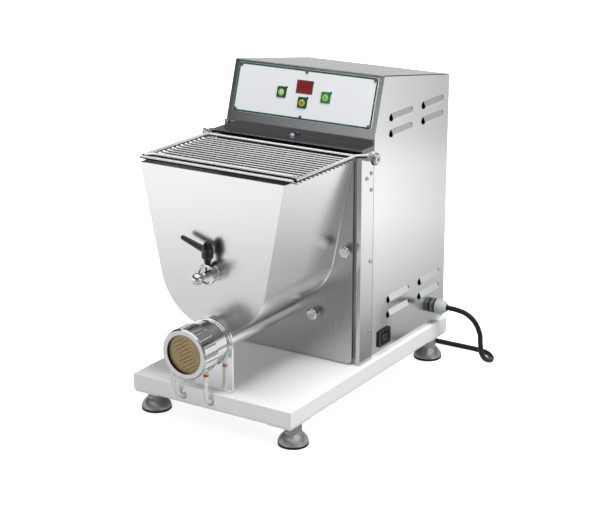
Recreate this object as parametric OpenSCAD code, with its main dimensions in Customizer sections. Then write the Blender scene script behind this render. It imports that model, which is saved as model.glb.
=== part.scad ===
// Bench-top electric pasta maker: a mixing tub with a wire lid, an extrusion
// barrel with a ring nut and die, and a sheet-metal column with the drive.
// Units are millimetres, +Z is up and the front of the machine faces -Y.
// Every piece is drawn from the front edge of the base and then placed so that
// the origin lies under the middle of the machine, on the bench.

/* [Base] */
// Width of the base tray
base_w = 300; // [260:1:380]
// Depth of the base tray
base_d = 508; // [440:1:640]
// Height of the base tray
base_h = 31.5; // [24:0.5:45]
// Sheet thickness of the base tray
base_wall = 2; // [1.5:0.5:3]
// Radius at the free lower corners of the tray walls
tray_corner_r = 6; // [3:0.5:10]
// Radius of the bent edges of the tray
tray_edge_r = 2.5; // [2:0.5:4]

/* [Feet] */
// Diameter of the rubber foot rim
foot_d = 49; // [40:1:60]
// Height of a foot
foot_h = 37.5; // [26:0.5:45]
// Diameter of the foot stem
foot_stem_d = 27; // [20:1:32]
// Distance of a foot from the side of the base
foot_inset_x = 18; // [16:1:40]
// Distance of a foot from the front and the rear of the base
foot_inset_y = 35; // [28:1:60]

/* [Column] */
// Width of the column
column_w = 283.6; // [250:0.1:360]
// Distance from the base front to the front of the column
column_front_y = 218; // [190:1:290]
// Depth of the flange between the column front and the side panels
flange_d = 39; // [32:1:50]
// Height of the ledge above the underside of the base
ledge_z = 391.5; // [360:0.5:440]
// Height at which the fascia starts
fascia_foot_z = 402; // [398:0.5:450]
// Length of the fascia up its slope
fascia_len = 99.7; // [90:0.1:130]
// Lean of the fascia away from the user, degrees
fascia_lean = 17.3; // [10:0.1:25]
// Fall of the top of the column from front to rear
top_fall = 33.5; // [0:0.5:60]
// Sheet thickness of the front frame
frame_t = 2; // [1.5:0.5:3]
// Sheet thickness of the cover and the fascia
cover_t = 1.5; // [1:0.1:2]
// Radius of the bent edges of the cover
cover_edge_r = 3; // [2:0.5:5]
// Open joint between the front frame and the cover
seam_gap = 1; // [0.5:0.1:2]

/* [Louvres] */
// Length of a louvre
louvre_l = 77; // [50:1:90]
// Height of a louvre
louvre_h = 12.5; // [8:0.5:18]
// How far a louvre bridge stands out
louvre_rise = 4; // [2:0.5:6]
// Spacing of louvres along the panel
louvre_pitch_y = 108; // [95:1:120]
// Spacing of louvres up the panel
louvre_pitch_z = 26; // [20:1:36]

/* [Controls] */
// Width of the control label
label_w = 265; // [240:1:270]
// Height of the control label
label_h = 82; // [74:1:86]
// Thickness of the control label
label_t = 1.2; // [0.8:0.1:2]
// Side of a square button
button_s = 17.6; // [12:0.2:22]
// Distance that a button travels
button_travel = 0.8; // [0.4:0.1:1]
// Width of the display window
display_w = 29.4; // [20:0.2:40]
// Height of the display window
display_h = 20; // [14:0.5:24]

/* [Tub] */
// Outer radius of the round bottom of the tub
tub_r = 97; // [85:0.5:105]
// Height of the mixing axis above the underside of the base
mixer_z = 224.5; // [215:0.5:250]
// Lean of the side walls of the tub, degrees
tub_flare = 11.4; // [4:0.1:14]
// Height of the rim of the tub
tub_rim_z = 379; // [350:1:385]
// Distance from the base front to the front of the tub
tub_front_y = 16; // [10:1:30]
// Sheet thickness of the tub
tub_t = 2; // [1.5:0.5:3]

/* [Back plate] */
// Width of the plate behind the tub
back_plate_w = 258; // [230:1:259]
// Depth of the plate behind the tub
back_plate_d = 8.4; // [6:0.2:12]

/* [Lid] */
// Distance between the side rods of the lid
lid_w = 280; // [270:1:300]
// Radius of the side rods
lid_rod_r = 3; // [2:0.25:4]
// Radius of the cross wires
lid_wire_r = 1.6; // [1:0.1:2]
// Spacing of the cross wires
lid_pitch = 7.7; // [6:0.1:12]
// Distance of the pivot behind the front of the column
pivot_back = 14; // [10:1:20]
// Height of the pivot above the underside of the base
pivot_z = 377; // [370:1:385]

/* [Barrel] */
// Sideways place of the barrel
barrel_x = -4; // [-12:0.5:12]
// Outer radius of the barrel tube
barrel_r = 22.5; // [20:0.5:26]
// Inner radius of the barrel tube
barrel_bore_r = 18.5; // [15:0.5:21]
// Distance that the ring nut stands in front of the base
nose_overhang = 60; // [45:1:80]
// Outer radius of the ring nut
nut_r = 40.5; // [38:0.5:46]
// Length of the ring nut
nut_l = 34; // [28:1:40]
// Number of grooves round the ring nut
nut_flutes = 22; // [16:1:28]
// Radius of the opening of the ring nut
nut_mouth_r = 31; // [26:0.5:32]
// Outer radius of the cooling jacket
jacket_r = 35; // [33:0.5:38]
// Thickness of the die
die_t = 9; // [6:1:12]

/* [Drive] */
// Module of the gears
gear_m = 2.5; // [2:0.5:3]
// Teeth of the mixer gear
mixer_teeth = 60; // [54:6:66]
// Teeth of the auger gear
auger_teeth = 30; // [24:6:36]
// Teeth of the motor pinion
pinion_teeth = 15; // [15:3:18]
// Face width of the gears
gear_w = 12; // [8:1:16]
// Radius of the drive shafts
shaft_r = 10; // [8:0.5:11]
// Pitch of the auger
auger_pitch = 32; // [24:1:45]

/* [Knobs] */
// Radius of a hand screw's cap
hand_cap_r = 9.5; // [7:0.5:11]
// Radius of the pin knob's ball
pin_ball_r = 9.5; // [7:0.5:12]
// Radius of the pin
pin_r = 6; // [4:0.5:7]
// Length of the clamping lever's arm
lever_l = 48; // [35:1:60]

/* [Cord] */
// Diameter of the supply cord
cord_d = 9; // [7:0.5:10]
// Diameter of a water hose
hose_d = 6.5; // [5:0.5:8]

/* [Hidden] */
$fn = 48;

// shared clearances
fit = 0.1;        // pieces of one assembly that sit in each other
run = 0.3;        // faces that turn or slide past each other
slip = 0.1;       // a pin or shaft in its bore
eps = 0.01;       // overlap of cutting tools

// places worked out from the sizes above
mid_y = (base_d - nose_overhang)/2;
column_x = column_w/2;
seam_y = column_front_y + flange_d;
fascia_top_y = seam_y + fascia_len*sin(fascia_lean);
top_front_z = fascia_foot_z + fascia_len*cos(fascia_lean);
top_rear_z = top_front_z - top_fall;
top_angle = atan(top_fall/(base_d - fascia_top_y));
wall_y = column_front_y + 4.4;             // front of the frame's wall
wall_back_y = wall_y + frame_t;
plate_y = wall_y - back_plate_d;           // front of the plate behind the tub
lip_z = ledge_z - 8.5;
post_x = column_x - 11.3;                  // inner edge of the corner posts
bay_x = column_x - cover_t;                // inside of the cover

// moves a piece from the base front to the machine's own origin
module place() {
    translate([0, -mid_y, foot_h]) children();
}

// plain rounded rectangle, centred
module round_rect(w, h, r) {
    square([w - 2*r, h], center = true);
    square([w, h - 2*r], center = true);
    for (x = [-1, 1], y = [-1, 1]) translate([x*(w/2 - r), y*(h/2 - r)]) circle(r);
}

// rectangle whose two upper corners have radius rt and two lower ones rb
module two_radius_rect(w, h, rt, rb) {
    translate([-w/2 + rb, 0]) square([w - 2*rb, rb]);
    translate([-w/2, rb]) square([w, h - rb - rt]);
    translate([-w/2 + rt, h - rt]) square([w - 2*rt, rt]);
    for (x = [-1, 1]) {
        translate([x*(w/2 - rb), rb]) circle(rb);
        translate([x*(w/2 - rt), h - rt]) circle(rt);
    }
}

// solid of revolution about the Y axis: points are [radius, distance back]
module turned(points) {
    rotate([-90, 0, 0]) rotate_extrude() polygon([for (p = points) [p[0], p[1]]]);
}

// cylinder along +Y from y0 to y1
module rod_y(r, y0, y1) {
    translate([0, y0, 0]) rotate([-90, 0, 0]) cylinder(r = r, h = y1 - y0);
}

// cylinder along +X from x0 to x1
module rod_x(r, x0, x1) {
    translate([x0, 0, 0]) rotate([0, 90, 0]) cylinder(r = r, h = x1 - x0);
}

// round bar between two points
module bar(p, q, r) {
    d = q - p;
    l = norm(d);
    translate(p) rotate([0, acos(d[2]/l), atan2(d[1], d[0])]) cylinder(r = r, h = l);
}

// outline in the side view (y, z), extruded across the machine
module across(points, half) {
    translate([-half, 0, 0]) rotate([90, 0, 90]) linear_extrude(2*half) polygon(points);
}

// outline in the front view (x, z), extruded back from y0 to y1
module back_from(y0, y1) {
    translate([0, y1, 0]) rotate([90, 0, 0]) linear_extrude(y1 - y0) children();
}

// a tube swept along a list of points, with a flat ring at each point
function unit(v) = v/norm(v);
function along(pts, i) = i == 0 ? unit(pts[1] - pts[0])
    : i == len(pts) - 1 ? unit(pts[i] - pts[i - 1]) : unit(pts[i + 1] - pts[i - 1]);
function sideways(t, ref) = unit(cross(t, ref));
module tube_along(pts, r, sides = 10, ref = [0, 1, 0]) {
    n = len(pts);
    rings = [for (i = [0:n - 1]) let (t = along(pts, i), a = sideways(t, ref), b = cross(t, a))
        for (k = [0:sides - 1]) pts[i] + r*cos(k*360/sides)*a + r*sin(k*360/sides)*b];
    walls = [for (i = [0:n - 2], k = [0:sides - 1])
        [i*sides + k, i*sides + (k + 1)%sides, (i + 1)*sides + (k + 1)%sides, (i + 1)*sides + k]];
    first = [for (k = [0:sides - 1]) sides - 1 - k];
    last = [for (k = [0:sides - 1]) (n - 1)*sides + k];
    polyhedron(rings, concat([first], walls, [last]));
}

// smooth points between hand-picked ones (Catmull-Rom)
function cr(a, b, c, d, t) = 0.5*((2*b) + (c - a)*t + (2*a - 5*b + 4*c - d)*t*t
    + (3*b - a - 3*c + d)*t*t*t);
function smooth(p, steps) = concat([for (i = [0:len(p) - 2], s = [0:steps - 1])
    cr(p[max(i - 1, 0)], p[i], p[i + 1], p[min(i + 2, len(p) - 1)], s/steps)], [p[len(p) - 1]]);

// ---------------------------------------------------------------- base and feet

foot_x = base_w/2 - foot_inset_x;
foot_ys = [foot_inset_y, base_d - foot_inset_y];
gusset_w = foot_inset_x + 24;              // corner plates that hold the feet
gusset_l = foot_inset_y + 24;
gusset_t = 3;
foot_pad_h = 3.4;
hose_port_z = 16;
hose_ports_x = [-52, 1.2];
fitting_r = 5.8;

module tray_blank(inset = 0) {
    w = base_w - 2*inset;
    d = base_d - 2*inset;
    intersection() {
        back_from(inset, base_d - inset) two_radius_rect(w, base_h - inset, tray_edge_r, tray_corner_r);
        translate([base_w/2 - inset, base_d/2, 0]) rotate([90, 0, -90]) linear_extrude(w)
            two_radius_rect(d, base_h - inset, tray_edge_r, tray_corner_r);
    }
}

module base_tray() place() color("#f2f1ee") difference() {
    union() {
        difference() {
            tray_blank();
            translate([-base_w/2 + base_wall, base_wall, -1])
                cube([base_w - 2*base_wall, base_d - 2*base_wall, base_h - base_wall + 1]);
        }
        for (m = [0, 1], y = [base_wall, base_d - base_wall - gusset_l]) mirror([m, 0, 0])
            translate([base_w/2 - base_wall - gusset_w, y, 0]) cube([gusset_w, gusset_l, gusset_t]);
    }
    for (x = [-1, 1], y = foot_ys) translate([x*foot_x, y, -1]) cylinder(d = 10 + 2*fit, h = gusset_t + 2);
    for (x = hose_ports_x) translate([x, 0, hose_port_z]) rod_y(fitting_r + fit, -1, base_wall + 1);
}

module foot_bells() place() color("#9a9a9a") for (x = [-1, 1], y = foot_ys) translate([x*foot_x, y, -foot_h])
    rotate_extrude() {
        stem = foot_stem_d/2;
        rim = foot_d/2;
        polygon([
            [0, foot_pad_h], [rim - 1, foot_pad_h], [rim, foot_pad_h + 1], [rim - 0.8, foot_pad_h + 4.4],
            [rim - 2.2, foot_pad_h + 7.4], [rim - 4.1, foot_pad_h + 10.4], [stem + 4.4, foot_pad_h + 13.4],
            [stem + 2.1, foot_pad_h + 15.7], [stem + 0.7, foot_pad_h + 17.3], [stem, foot_pad_h + 19],
            [stem, foot_h], [5, foot_h], [5, foot_h + gusset_t + 6], [0, foot_h + gusset_t + 6]
        ]);
    }

module foot_pads() place() color("#1a1a1a") for (x = [-1, 1], y = foot_ys) translate([x*foot_x, y, -foot_h])
    rotate_extrude() polygon([[0, 0], [foot_d/2 - 0.8, 0], [foot_d/2, 0.8], [foot_d/2, foot_pad_h - 0.6],
        [foot_d/2 - 0.6, foot_pad_h], [0, foot_pad_h]]);

// ---------------------------------------------------------------- column

screw_y = seam_y - 8;
flange_screw_z = [83, 202, 321, 348];
pivot_y = column_front_y + pivot_back;
bearing_hole_r = shaft_r + 5;
auger_z = mixer_z - sqrt(pow(gear_m*(mixer_teeth + auger_teeth)/2, 2) - barrel_x*barrel_x);
pinion_z = mixer_z + gear_m*(mixer_teeth + pinion_teeth)/2;
hand_out_x = tub_r + 23.5;
hand_in_x = 60;
hand_spots = [[hand_out_x, mixer_z + 1.5], [hand_in_x, auger_z - 2], [-hand_in_x, auger_z - 2], [-hand_out_x, mixer_z + 1.5]];
hand_shank_r = 3;
upstand_y = seam_y - 6;

// plan of a corner: rectangle whose inner front corner is round
module corner_plan(x, y, w, d, r) {
    translate([x + r, y]) square([w - r, d]);
    translate([x, y + r]) square([w, d - r]);
    translate([x + r, y + r]) circle(r);
}

// corner post: round inner edge, wall behind it and a flange down the side
module post() {
    nose = 5;
    w = column_x - post_x;
    d = flange_d - seam_gap;
    translate([0, 0, base_h]) linear_extrude(ledge_z - base_h) difference() {
        corner_plan(post_x, column_front_y, w, d, nose);
        corner_plan(post_x + frame_t, column_front_y + frame_t, w - 2*frame_t, d, nose - frame_t);
        translate([post_x - 1, wall_back_y]) square([w - frame_t, d]);
    }
}

module front_frame() place() color("#c9cbcc") difference() {
    union() {
        for (m = [0, 1]) mirror([m, 0, 0]) post();
        // wall, ledge with its front lip and rear upstand
        translate([-post_x - frame_t, wall_y, base_h]) cube([2*(post_x + frame_t), frame_t, ledge_z - base_h]);
        translate([-column_x, plate_y, ledge_z - frame_t]) cube([column_w, upstand_y + frame_t - plate_y, frame_t]);
        translate([-column_x, plate_y, lip_z]) cube([column_w, frame_t, ledge_z - lip_z]);
        translate([-column_x, upstand_y, ledge_z - eps]) cube([column_w, frame_t, fascia_foot_z - ledge_z - 1]);
    }
    for (p = [[0, mixer_z], [barrel_x, auger_z]]) translate([p[0], 0, p[1]])
        rod_y(bearing_hole_r, wall_y - 1, wall_back_y + 1);
    for (p = hand_spots) translate([p[0], 0, p[1]]) rod_y(hand_shank_r + run, wall_y - 1, wall_back_y + 1);
    for (m = [0, 1], z = flange_screw_z) mirror([m, 0, 0]) translate([0, screw_y, z])
        rod_x(2 + fit, column_x - frame_t - 1, column_x + 1);
    for (m = [0, 1]) mirror([m, 0, 0]) translate([0, screw_y - 14, flange_screw_z[3] - 6])
        rod_x(2 + fit, column_x - frame_t - 1, column_x + 1);
    translate([-3, upstand_y - 7, ledge_z - frame_t - 1]) cylinder(r = 3 + fit, h = frame_t + 2);
}

module flange_screw() {
    rod_x(3.4, column_x, column_x + 1.8);
    rod_x(2, column_x - 6, column_x + 1);
}

module flange_screws() place() color("#b8b8b8") for (m = [0, 1]) mirror([m, 0, 0]) {
    for (z = flange_screw_z) translate([0, screw_y, z]) flange_screw();
    translate([0, screw_y - 14, flange_screw_z[3] - 6]) flange_screw();
}

module ledge_nut() place() color("#dddddd") translate([-3, upstand_y - 7, ledge_z]) {
    rotate_extrude() intersection() {
        translate([0, -1.5]) circle(5.6);
        square([5.2, 4.1]);
    }
    translate([0, 0, -6]) cylinder(r = 3, h = 6 + eps);
}

louvre_y = base_d - 58 - louvre_pitch_y/2;
louvre_rows = [base_h + 75, ledge_z + 21.5];
socket_y = seam_y + 38.8;
socket_z = base_h + 26.8;
socket_w = 38.6;
socket_h = 28.2;
socket_t = 3;
gland_y = base_d - 43;
gland_z = base_h + 32.2;
gland_r = 10;

// bridge louvre stamped outwards from a panel whose outer face is x = 0
module louvre_bridge() {
    l = louvre_l - 12;
    h = louvre_h/2;
    t = 1.1;
    translate([0, l/2, 0]) rotate([90, 0, 0]) linear_extrude(l) polygon([
        [-cover_t, -h - 0.8], [0, -h - 0.8], [louvre_rise, -h + 2.2], [louvre_rise, -h + 4.4], [0, h + 0.8],
        [-cover_t, h + 0.8], [-cover_t, h - 0.5], [-0.4, h - 0.5], [louvre_rise - t, -h + 4.1],
        [louvre_rise - t, -h + 3], [-0.4, -h + 0.5], [-cover_t, -h + 0.5]
    ]);
}

module louvre_slot() {
    rotate([0, -90, 0]) translate([0, 0, -1]) linear_extrude(cover_t + 2) {
        square([louvre_h, louvre_l - louvre_h], center = true);
        for (s = [-1, 1]) translate([0, s*(louvre_l - louvre_h)/2]) circle(louvre_h/2);
    }
}

module louvre_places() {
    for (z = louvre_rows, dy = [-1, 1], dz = [-1, 1])
        translate([column_x, louvre_y + dy*louvre_pitch_y/2, z + dz*louvre_pitch_z/2]) children();
}

// rounded prism that follows the fall of the top
module sloping_blank() {
    translate([0, fascia_top_y, top_front_z]) rotate([-top_angle, 0, 0]) translate([0, -150, 0])
        back_from(0, base_d + 150) translate([0, -top_front_z - 50]) two_radius_rect(column_w, top_front_z + 50, cover_edge_r, 1);
}

module outer_cover() place() color("#cfd1d2") difference() {
    union() {
        intersection() {
            difference() {
                across([[seam_y, base_h], [seam_y, fascia_foot_z], [fascia_top_y, top_front_z],
                    [base_d, top_rear_z], [base_d, base_h]], column_x);
                across([[seam_y - 1, base_h - 1], [seam_y - 1, top_front_z - 1],
                    [fascia_top_y - 6, top_front_z + 6*tan(top_angle) - cover_t/cos(top_angle)],
                    [base_d + 10, top_rear_z - 10*tan(top_angle) - cover_t/cos(top_angle)],
                    [base_d + 10, base_h - 1]], bay_x);
            }
            sloping_blank();
        }
        // joggled lip behind the frame's flange
        for (m = [0, 1]) mirror([m, 0, 0]) {
            lip_x = column_x - frame_t - fit;
            translate([lip_x - cover_t, seam_y - 16, base_h + 12]) cube([cover_t, 16 + cover_t, 330]);
            translate([lip_x - cover_t, seam_y, base_h + 12]) cube([column_x - lip_x + cover_t - 1, cover_t, 330]);
            louvre_places() louvre_bridge();
        }
    }
    for (m = [0, 1]) mirror([m, 0, 0]) {
        louvre_places() difference() {
            louvre_slot();
            translate([-5, -louvre_l, -louvre_h]) intersection() {
                cube([20, 2*louvre_l, 2*louvre_h]);
                translate([5, louvre_l, louvre_h]) louvre_bridge();
            }
        }
        for (z = flange_screw_z) translate([0, screw_y, z]) rod_x(2 + fit, column_x - 10, column_x - frame_t);
    }
    translate([column_x - 5, socket_y - socket_w/2 + 4, socket_z - socket_h/2 + 2])
        cube([10, socket_w - 8, socket_h - 4]);
    translate([0, gland_y, gland_z]) rod_x(gland_r + fit, column_x - 5, column_x + 5);
}

rear_y = base_d - 4;                       // rear face of the rear panel
rear_top_z = top_rear_z - 4;

module rear_panel() place() color("#c6c8c9") difference() {
    x = bay_x - run;
    union() {
        translate([-x, rear_y - cover_t, base_h + 0.5]) cube([2*x, cover_t, rear_top_z - base_h - 0.5]);
        for (s = [-1, 1]) translate([s > 0 ? x - cover_t : -x, rear_y - 14, base_h + 0.5])
            cube([cover_t, 14, rear_top_z - base_h - 0.5]);
        rear_louvres() louvre_bridge();
    }
    rear_louvres() difference() {
        louvre_slot();
        louvre_bridge();
    }
    rear_screw_places() rod_y(2 + fit, rear_y - 5, rear_y + 1);
}

module rear_louvres() {
    for (dx = [-1, 1], dz = [-1, 0, 1]) translate([dx*louvre_pitch_y/2, rear_y, louvre_rows[0] + 26 + dz*louvre_pitch_z])
        rotate([0, 0, 90]) children();
}

module rear_screw_places() {
    for (x = [-1, 1], z = [base_h + 24, (base_h + rear_top_z)/2, rear_top_z - 18])
        translate([x*(bay_x - 16), 0, z]) children();
}

module rear_screws() place() color("#b8b8b8") rear_screw_places() {
    rod_y(3.6, rear_y, rear_y + 2);
    rod_y(2, rear_y - 9, rear_y + eps);
}

// ---------------------------------------------------------------- controls

// frame of the fascia: x across, y up the slope, z out of it
module on_fascia() {
    translate([0, seam_y, fascia_foot_z]) rotate([90 - fascia_lean, 0, 0]) children();
}

label_y = 12.8 + label_h/2;
label_z = -0.6;                            // outer face of the fascia, under the label
label_top = label_z + label_t;
display_y = label_y + 12.2;
button_spots = [[-42, label_y], [0, label_y - 13], [42, label_y]];
led_off = [8.4, 8.2];
led_r = 1.5;
button_gap = 0.25;
board_z = -14;
board_t = 1.6;
label_screw_spots = [for (y = [-1, 1], x = [-1, 0, 1]) [x*(label_w/2 - 5.5), label_y + y*(label_h/2 - 4.3)]];

module button_outline(grow) {
    s = button_s + 2*grow;
    difference() {
        round_rect(s, s, 2);
        translate(led_off) circle(led_r + 0.7 - grow);
    }
}

module panel_cuts() {
    for (p = button_spots) translate(p) {
        button_outline(button_gap);
        translate(led_off) circle(led_r);
    }
    translate([0, display_y]) square([display_w, display_h], center = true);
}

module fascia_panel() place() color("#b9bcbe") on_fascia() translate([0, 0, label_z - cover_t])
    linear_extrude(cover_t) difference() {
        translate([-bay_x + run, -8]) square([2*(bay_x - run), fascia_len + 8 - cover_t - 0.8]);
        panel_cuts();
        for (p = label_screw_spots) translate(p) circle(1.5 + fit);
    }

module control_label() place() color("#e9edf2") on_fascia() translate([0, 0, label_z]) linear_extrude(label_t)
    difference() {
        translate([0, label_y]) round_rect(label_w, label_h, 4);
        panel_cuts();
        for (p = label_screw_spots) translate(p) circle(1.5 + fit);
    }

module label_screws() place() color("#8c7f6a") on_fascia() for (p = label_screw_spots) translate([p[0], p[1], 0]) {
    translate([0, 0, label_top]) difference() {
        cylinder(r1 = 3, r2 = 2.2, h = 1.3);
        for (a = [0, 90]) rotate(a) translate([-2, -0.35, 0.6]) cube([4, 0.7, 1]);
    }
    translate([0, 0, label_z - 6]) cylinder(r = 1.5, h = label_top - label_z + 6 + eps);
}

module display_window() place() color("#7c1518") on_fascia() translate([0, display_y, label_z - cover_t])
    linear_extrude(cover_t + label_t + 0.2) square([display_w - 2*fit, display_h - 2*fit], center = true);

module button(i) {
    place() color("#17623b") on_fascia() translate([button_spots[i][0], button_spots[i][1], 0]) {
        translate([0, 0, label_z - cover_t]) linear_extrude(cover_t + label_t + 1) button_outline(0);
        translate([0, 0, board_z + board_t + 4.4 + button_travel + 0.05])
            cylinder(r = 3, h = label_z - cover_t - (board_z + board_t + 4.4 + button_travel + 0.05) + eps);
    }
}

module button_left() { button(0); }
module button_stop() { button(1); }
module button_right() { button(2); }

module indicator_leds() place() color("#101010") on_fascia() for (p = button_spots)
    translate([p[0] + led_off[0], p[1] + led_off[1], 0]) {
        translate([0, 0, label_z - cover_t]) cylinder(r = led_r - 0.05, h = cover_t + label_t);
        intersection() {
            translate([0, 0, label_top - 0.9]) sphere(r = led_r + 0.25);
            translate([0, 0, label_top - eps]) cylinder(r = led_r - 0.05, h = 2);
        }
    }

module control_board() place() color("#1f5a3a") on_fascia() {
    translate([-60, label_y - 32, board_z]) cube([120, 60, board_t]);
    for (p = button_spots) translate([p[0] - 4, p[1] - 4, board_z + board_t - eps]) cube([8, 8, 4.4]);
    translate([-13, display_y - 8.5, board_z + board_t - eps]) cube([26, 17, label_z - cover_t - board_z - board_t - 0.2]);
    for (x = [-54, 54], y = [label_y - 27, label_y + 23]) translate([x, y, board_z + board_t - eps])
        cylinder(r = 3, h = label_z - cover_t - board_z - board_t + eps);
}

// ---------------------------------------------------------------- tub

function tub_half(r, z) = r/cos(tub_flare) + (z - mixer_z)*tan(tub_flare);

module tub_outline(r, top) {
    translate([0, mixer_z]) circle(r, $fn = 96);
    polygon([
        [-r*cos(tub_flare), mixer_z - r*sin(tub_flare)], [r*cos(tub_flare), mixer_z - r*sin(tub_flare)],
        [tub_half(r, top), top], [-tub_half(r, top), top]
    ]);
}

module tub_inside(y0, y1) {
    back_from(y0, y1) tub_outline(tub_r - tub_t, tub_rim_z + 5);
}

module at_mixer() { translate([0, 0, mixer_z]) children(); }
module at_barrel() { translate([barrel_x, 0, auger_z]) children(); }

boss_front_y = tub_front_y - 21.7;
boss_r = 14.5;
boss_ring_r = 16.6;
pin_in_y = tub_front_y + 14;               // inner end of the pin

// the tub's own bottom dips into the barrel; where the gears set the two apart, a neck joins them
throat = mixer_z - tub_r - auger_z - barrel_r > -3;
throat_half = barrel_bore_r - 5 + tub_t;
module tub_throat() translate([barrel_x - throat_half, tub_front_y, auger_z])
    cube([2*throat_half, plate_y - tub_front_y, mixer_z - tub_r + tub_t + 3 - auger_z]);

module hopper() place() color("#d3d5d6") difference() {
    union() {
        back_from(tub_front_y, plate_y) tub_outline(tub_r, tub_rim_z);
        if (throat) tub_throat();
    }
    if (throat) feed_mouth();
    tub_inside(tub_front_y + tub_t, plate_y + 1);
    at_barrel() rod_y(barrel_r, tub_front_y - 1, plate_y + 1);
    at_mixer() rod_y(pin_r + run, tub_front_y - 1, tub_front_y + tub_t + 1);
}

seal_r = 16;
back_plate_top = lip_z - 1;
back_plate_bottom = base_h + 1.5;

module back_plate_outline(inset) {
    h = back_plate_top - back_plate_bottom;
    translate([0, back_plate_bottom + h/2]) round_rect(back_plate_w - 2*inset, h - 2*inset, 8 - inset);
}

module back_plate() place() color("#d8dadb") difference() {
    back_from(plate_y, wall_y) back_plate_outline(0);
    difference() {
        back_from(plate_y + 3, wall_y + 1) back_plate_outline(2.5);
        for (p = hand_spots) translate([p[0], 0, p[1]]) rod_y(7, plate_y, wall_y);
        at_mixer() rod_y(seal_r + 4, plate_y, wall_y);
        at_barrel() rod_y(seal_r + 4, plate_y, wall_y);
    }
    for (p = hand_spots) translate([p[0], 0, p[1]]) rod_y(hand_shank_r + run, plate_y - 1, wall_y + 1);
    at_mixer() rod_y(seal_r + fit, plate_y - 1, wall_y + 1);
    at_barrel() rod_y(seal_r + fit, plate_y - 1, wall_y + 1);
}

module hand_screw(i) {
    p = hand_spots[i];
    r = hand_cap_r;
    place() color("#e2e3e4") translate([p[0], plate_y - run, p[1]]) turned([
        [0, -13.7], [r - 2.5, -13.7], [r - 0.7, -13], [r, -12], [r, -9], [r - 0.8, -8.2], [5.6, -8.2], [5.6, -7.2],
        [7.6, -7.2], [7.6, -4.4], [6.2, -4.4], [6.2, -3.2], [7.6, -3.2], [7.6, 0], [hand_shank_r, 0],
        [hand_shank_r, 16], [0, 16]
    ]);
}

module hand_screw_1() { hand_screw(0); }
module hand_screw_2() { hand_screw(1); }
module hand_screw_3() { hand_screw(2); }
module hand_screw_4() { hand_screw(3); }

lever_y = boss_front_y + 6.5;
stud_r = 4;

module pin_boss() place() color("#d9dadb") difference() {
    translate([0, boss_front_y, mixer_z]) {
        l = tub_front_y - boss_front_y;
        turned([
            [pin_r + slip, 2.6], [11.6, 2.6], [12.8, 0.4], [13.6, 0], [boss_ring_r - 0.8, 0], [boss_ring_r, 0.8],
            [boss_ring_r, 3.6], [boss_ring_r - 0.8, 4.4], [boss_r, 4.4], [boss_r, l - 6.6], [boss_ring_r - 0.6, l - 6.2],
            [boss_ring_r - 0.6, l - 4.4], [boss_r, l - 4], [boss_r, l - 2.9], [boss_ring_r, l - 2.6],
            [boss_ring_r, l], [pin_r + slip, l]
        ]);
    }
    translate([0, lever_y, mixer_z]) cylinder(r = stud_r + run, h = boss_r + 5);
}

module pin_knob() place() color("#e2e3e4") translate([0, boss_front_y - 21, mixer_z]) {
    difference() {
        sphere(r = pin_ball_r);
        translate([-20, 5.6, -20]) cube(40);
    }
    turned([[0, 0], [4.6, 0], [4.6, 14], [pin_r, 15.5], [pin_r, pin_in_y - boss_front_y + 21 - 1],
        [pin_r - 1, pin_in_y - boss_front_y + 21], [0, pin_in_y - boss_front_y + 21]]);
}

lever_z = mixer_z + boss_ring_r + run;
lever_neck = 2.4;                          // height of the steel collar under the grip
lever_rise = 18;

module clamp_lever() place() {
    color("#161616") translate([0, lever_y, lever_z + lever_neck]) {
        rotate_extrude() polygon([
            [0, 0], [3.6, 0], [5.6, 1.2], [6, 4.6], [8.6, 6.8], [9.2, 9.6], [9.2, 17], [8.6, 22], [7, 26.4], [4.8, 31],
            [3.4, 31], [3.4, 29.6], [0, 29.6]
        ]);
        translate([0, 0, 16.8]) rotate([0, lever_rise - 90, 0]) {
            cylinder(r1 = 5.6, r2 = 3.8, h = lever_l);
            translate([0, 0, lever_l]) cylinder(r1 = 3.8, r2 = 2.6, h = 2.6);
        }
    }
    color("#d9dadb") translate([0, lever_y, 0]) {
        translate([0, 0, lever_z]) cylinder(r = 5, h = lever_neck - 0.8);
        translate([0, 0, lever_z]) cylinder(r = 3.2, h = lever_neck + 3);
        translate([0, 0, mixer_z + pin_r + run]) cylinder(r = stud_r, h = lever_z - mixer_z - pin_r - run + eps);
    }
}

// ---------------------------------------------------------------- lid

lid_wire_z = tub_rim_z + 0.3 + lid_wire_r;
lid_rod_z = lid_wire_z + lid_wire_r + lid_rod_r;
lid_front_y = tub_front_y - 2;
lid_rear_y = plate_y - 14;
lid_x = lid_w/2;
ear_x = column_x + 14.2;                   // inner face of the hinge ear
ear_t = 3;
ear_r = 10.5;
pivot_shank_r = 3;
pivot_head_r = 9.2;

module hinge_ear() difference() {
    rise = lid_rod_z - pivot_z;
    reach = pivot_y - plate_y - 2;
    union() {
        translate([0, pivot_y, pivot_z]) rod_x(ear_r, ear_x, ear_x + ear_t);
        translate([0, pivot_y - reach, lid_rod_z]) rod_x(5, ear_x, ear_x + ear_t);
        translate([ear_x, pivot_y, pivot_z]) rotate([-atan2(rise, reach), 0, 0])
            translate([0, -norm([reach, rise]), -4.6]) cube([ear_t, norm([reach, rise]), 9.2]);
    }
    translate([0, pivot_y, pivot_z]) rod_x(pivot_shank_r + slip, ear_x - 1, ear_x + ear_t + 1);
}

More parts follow.
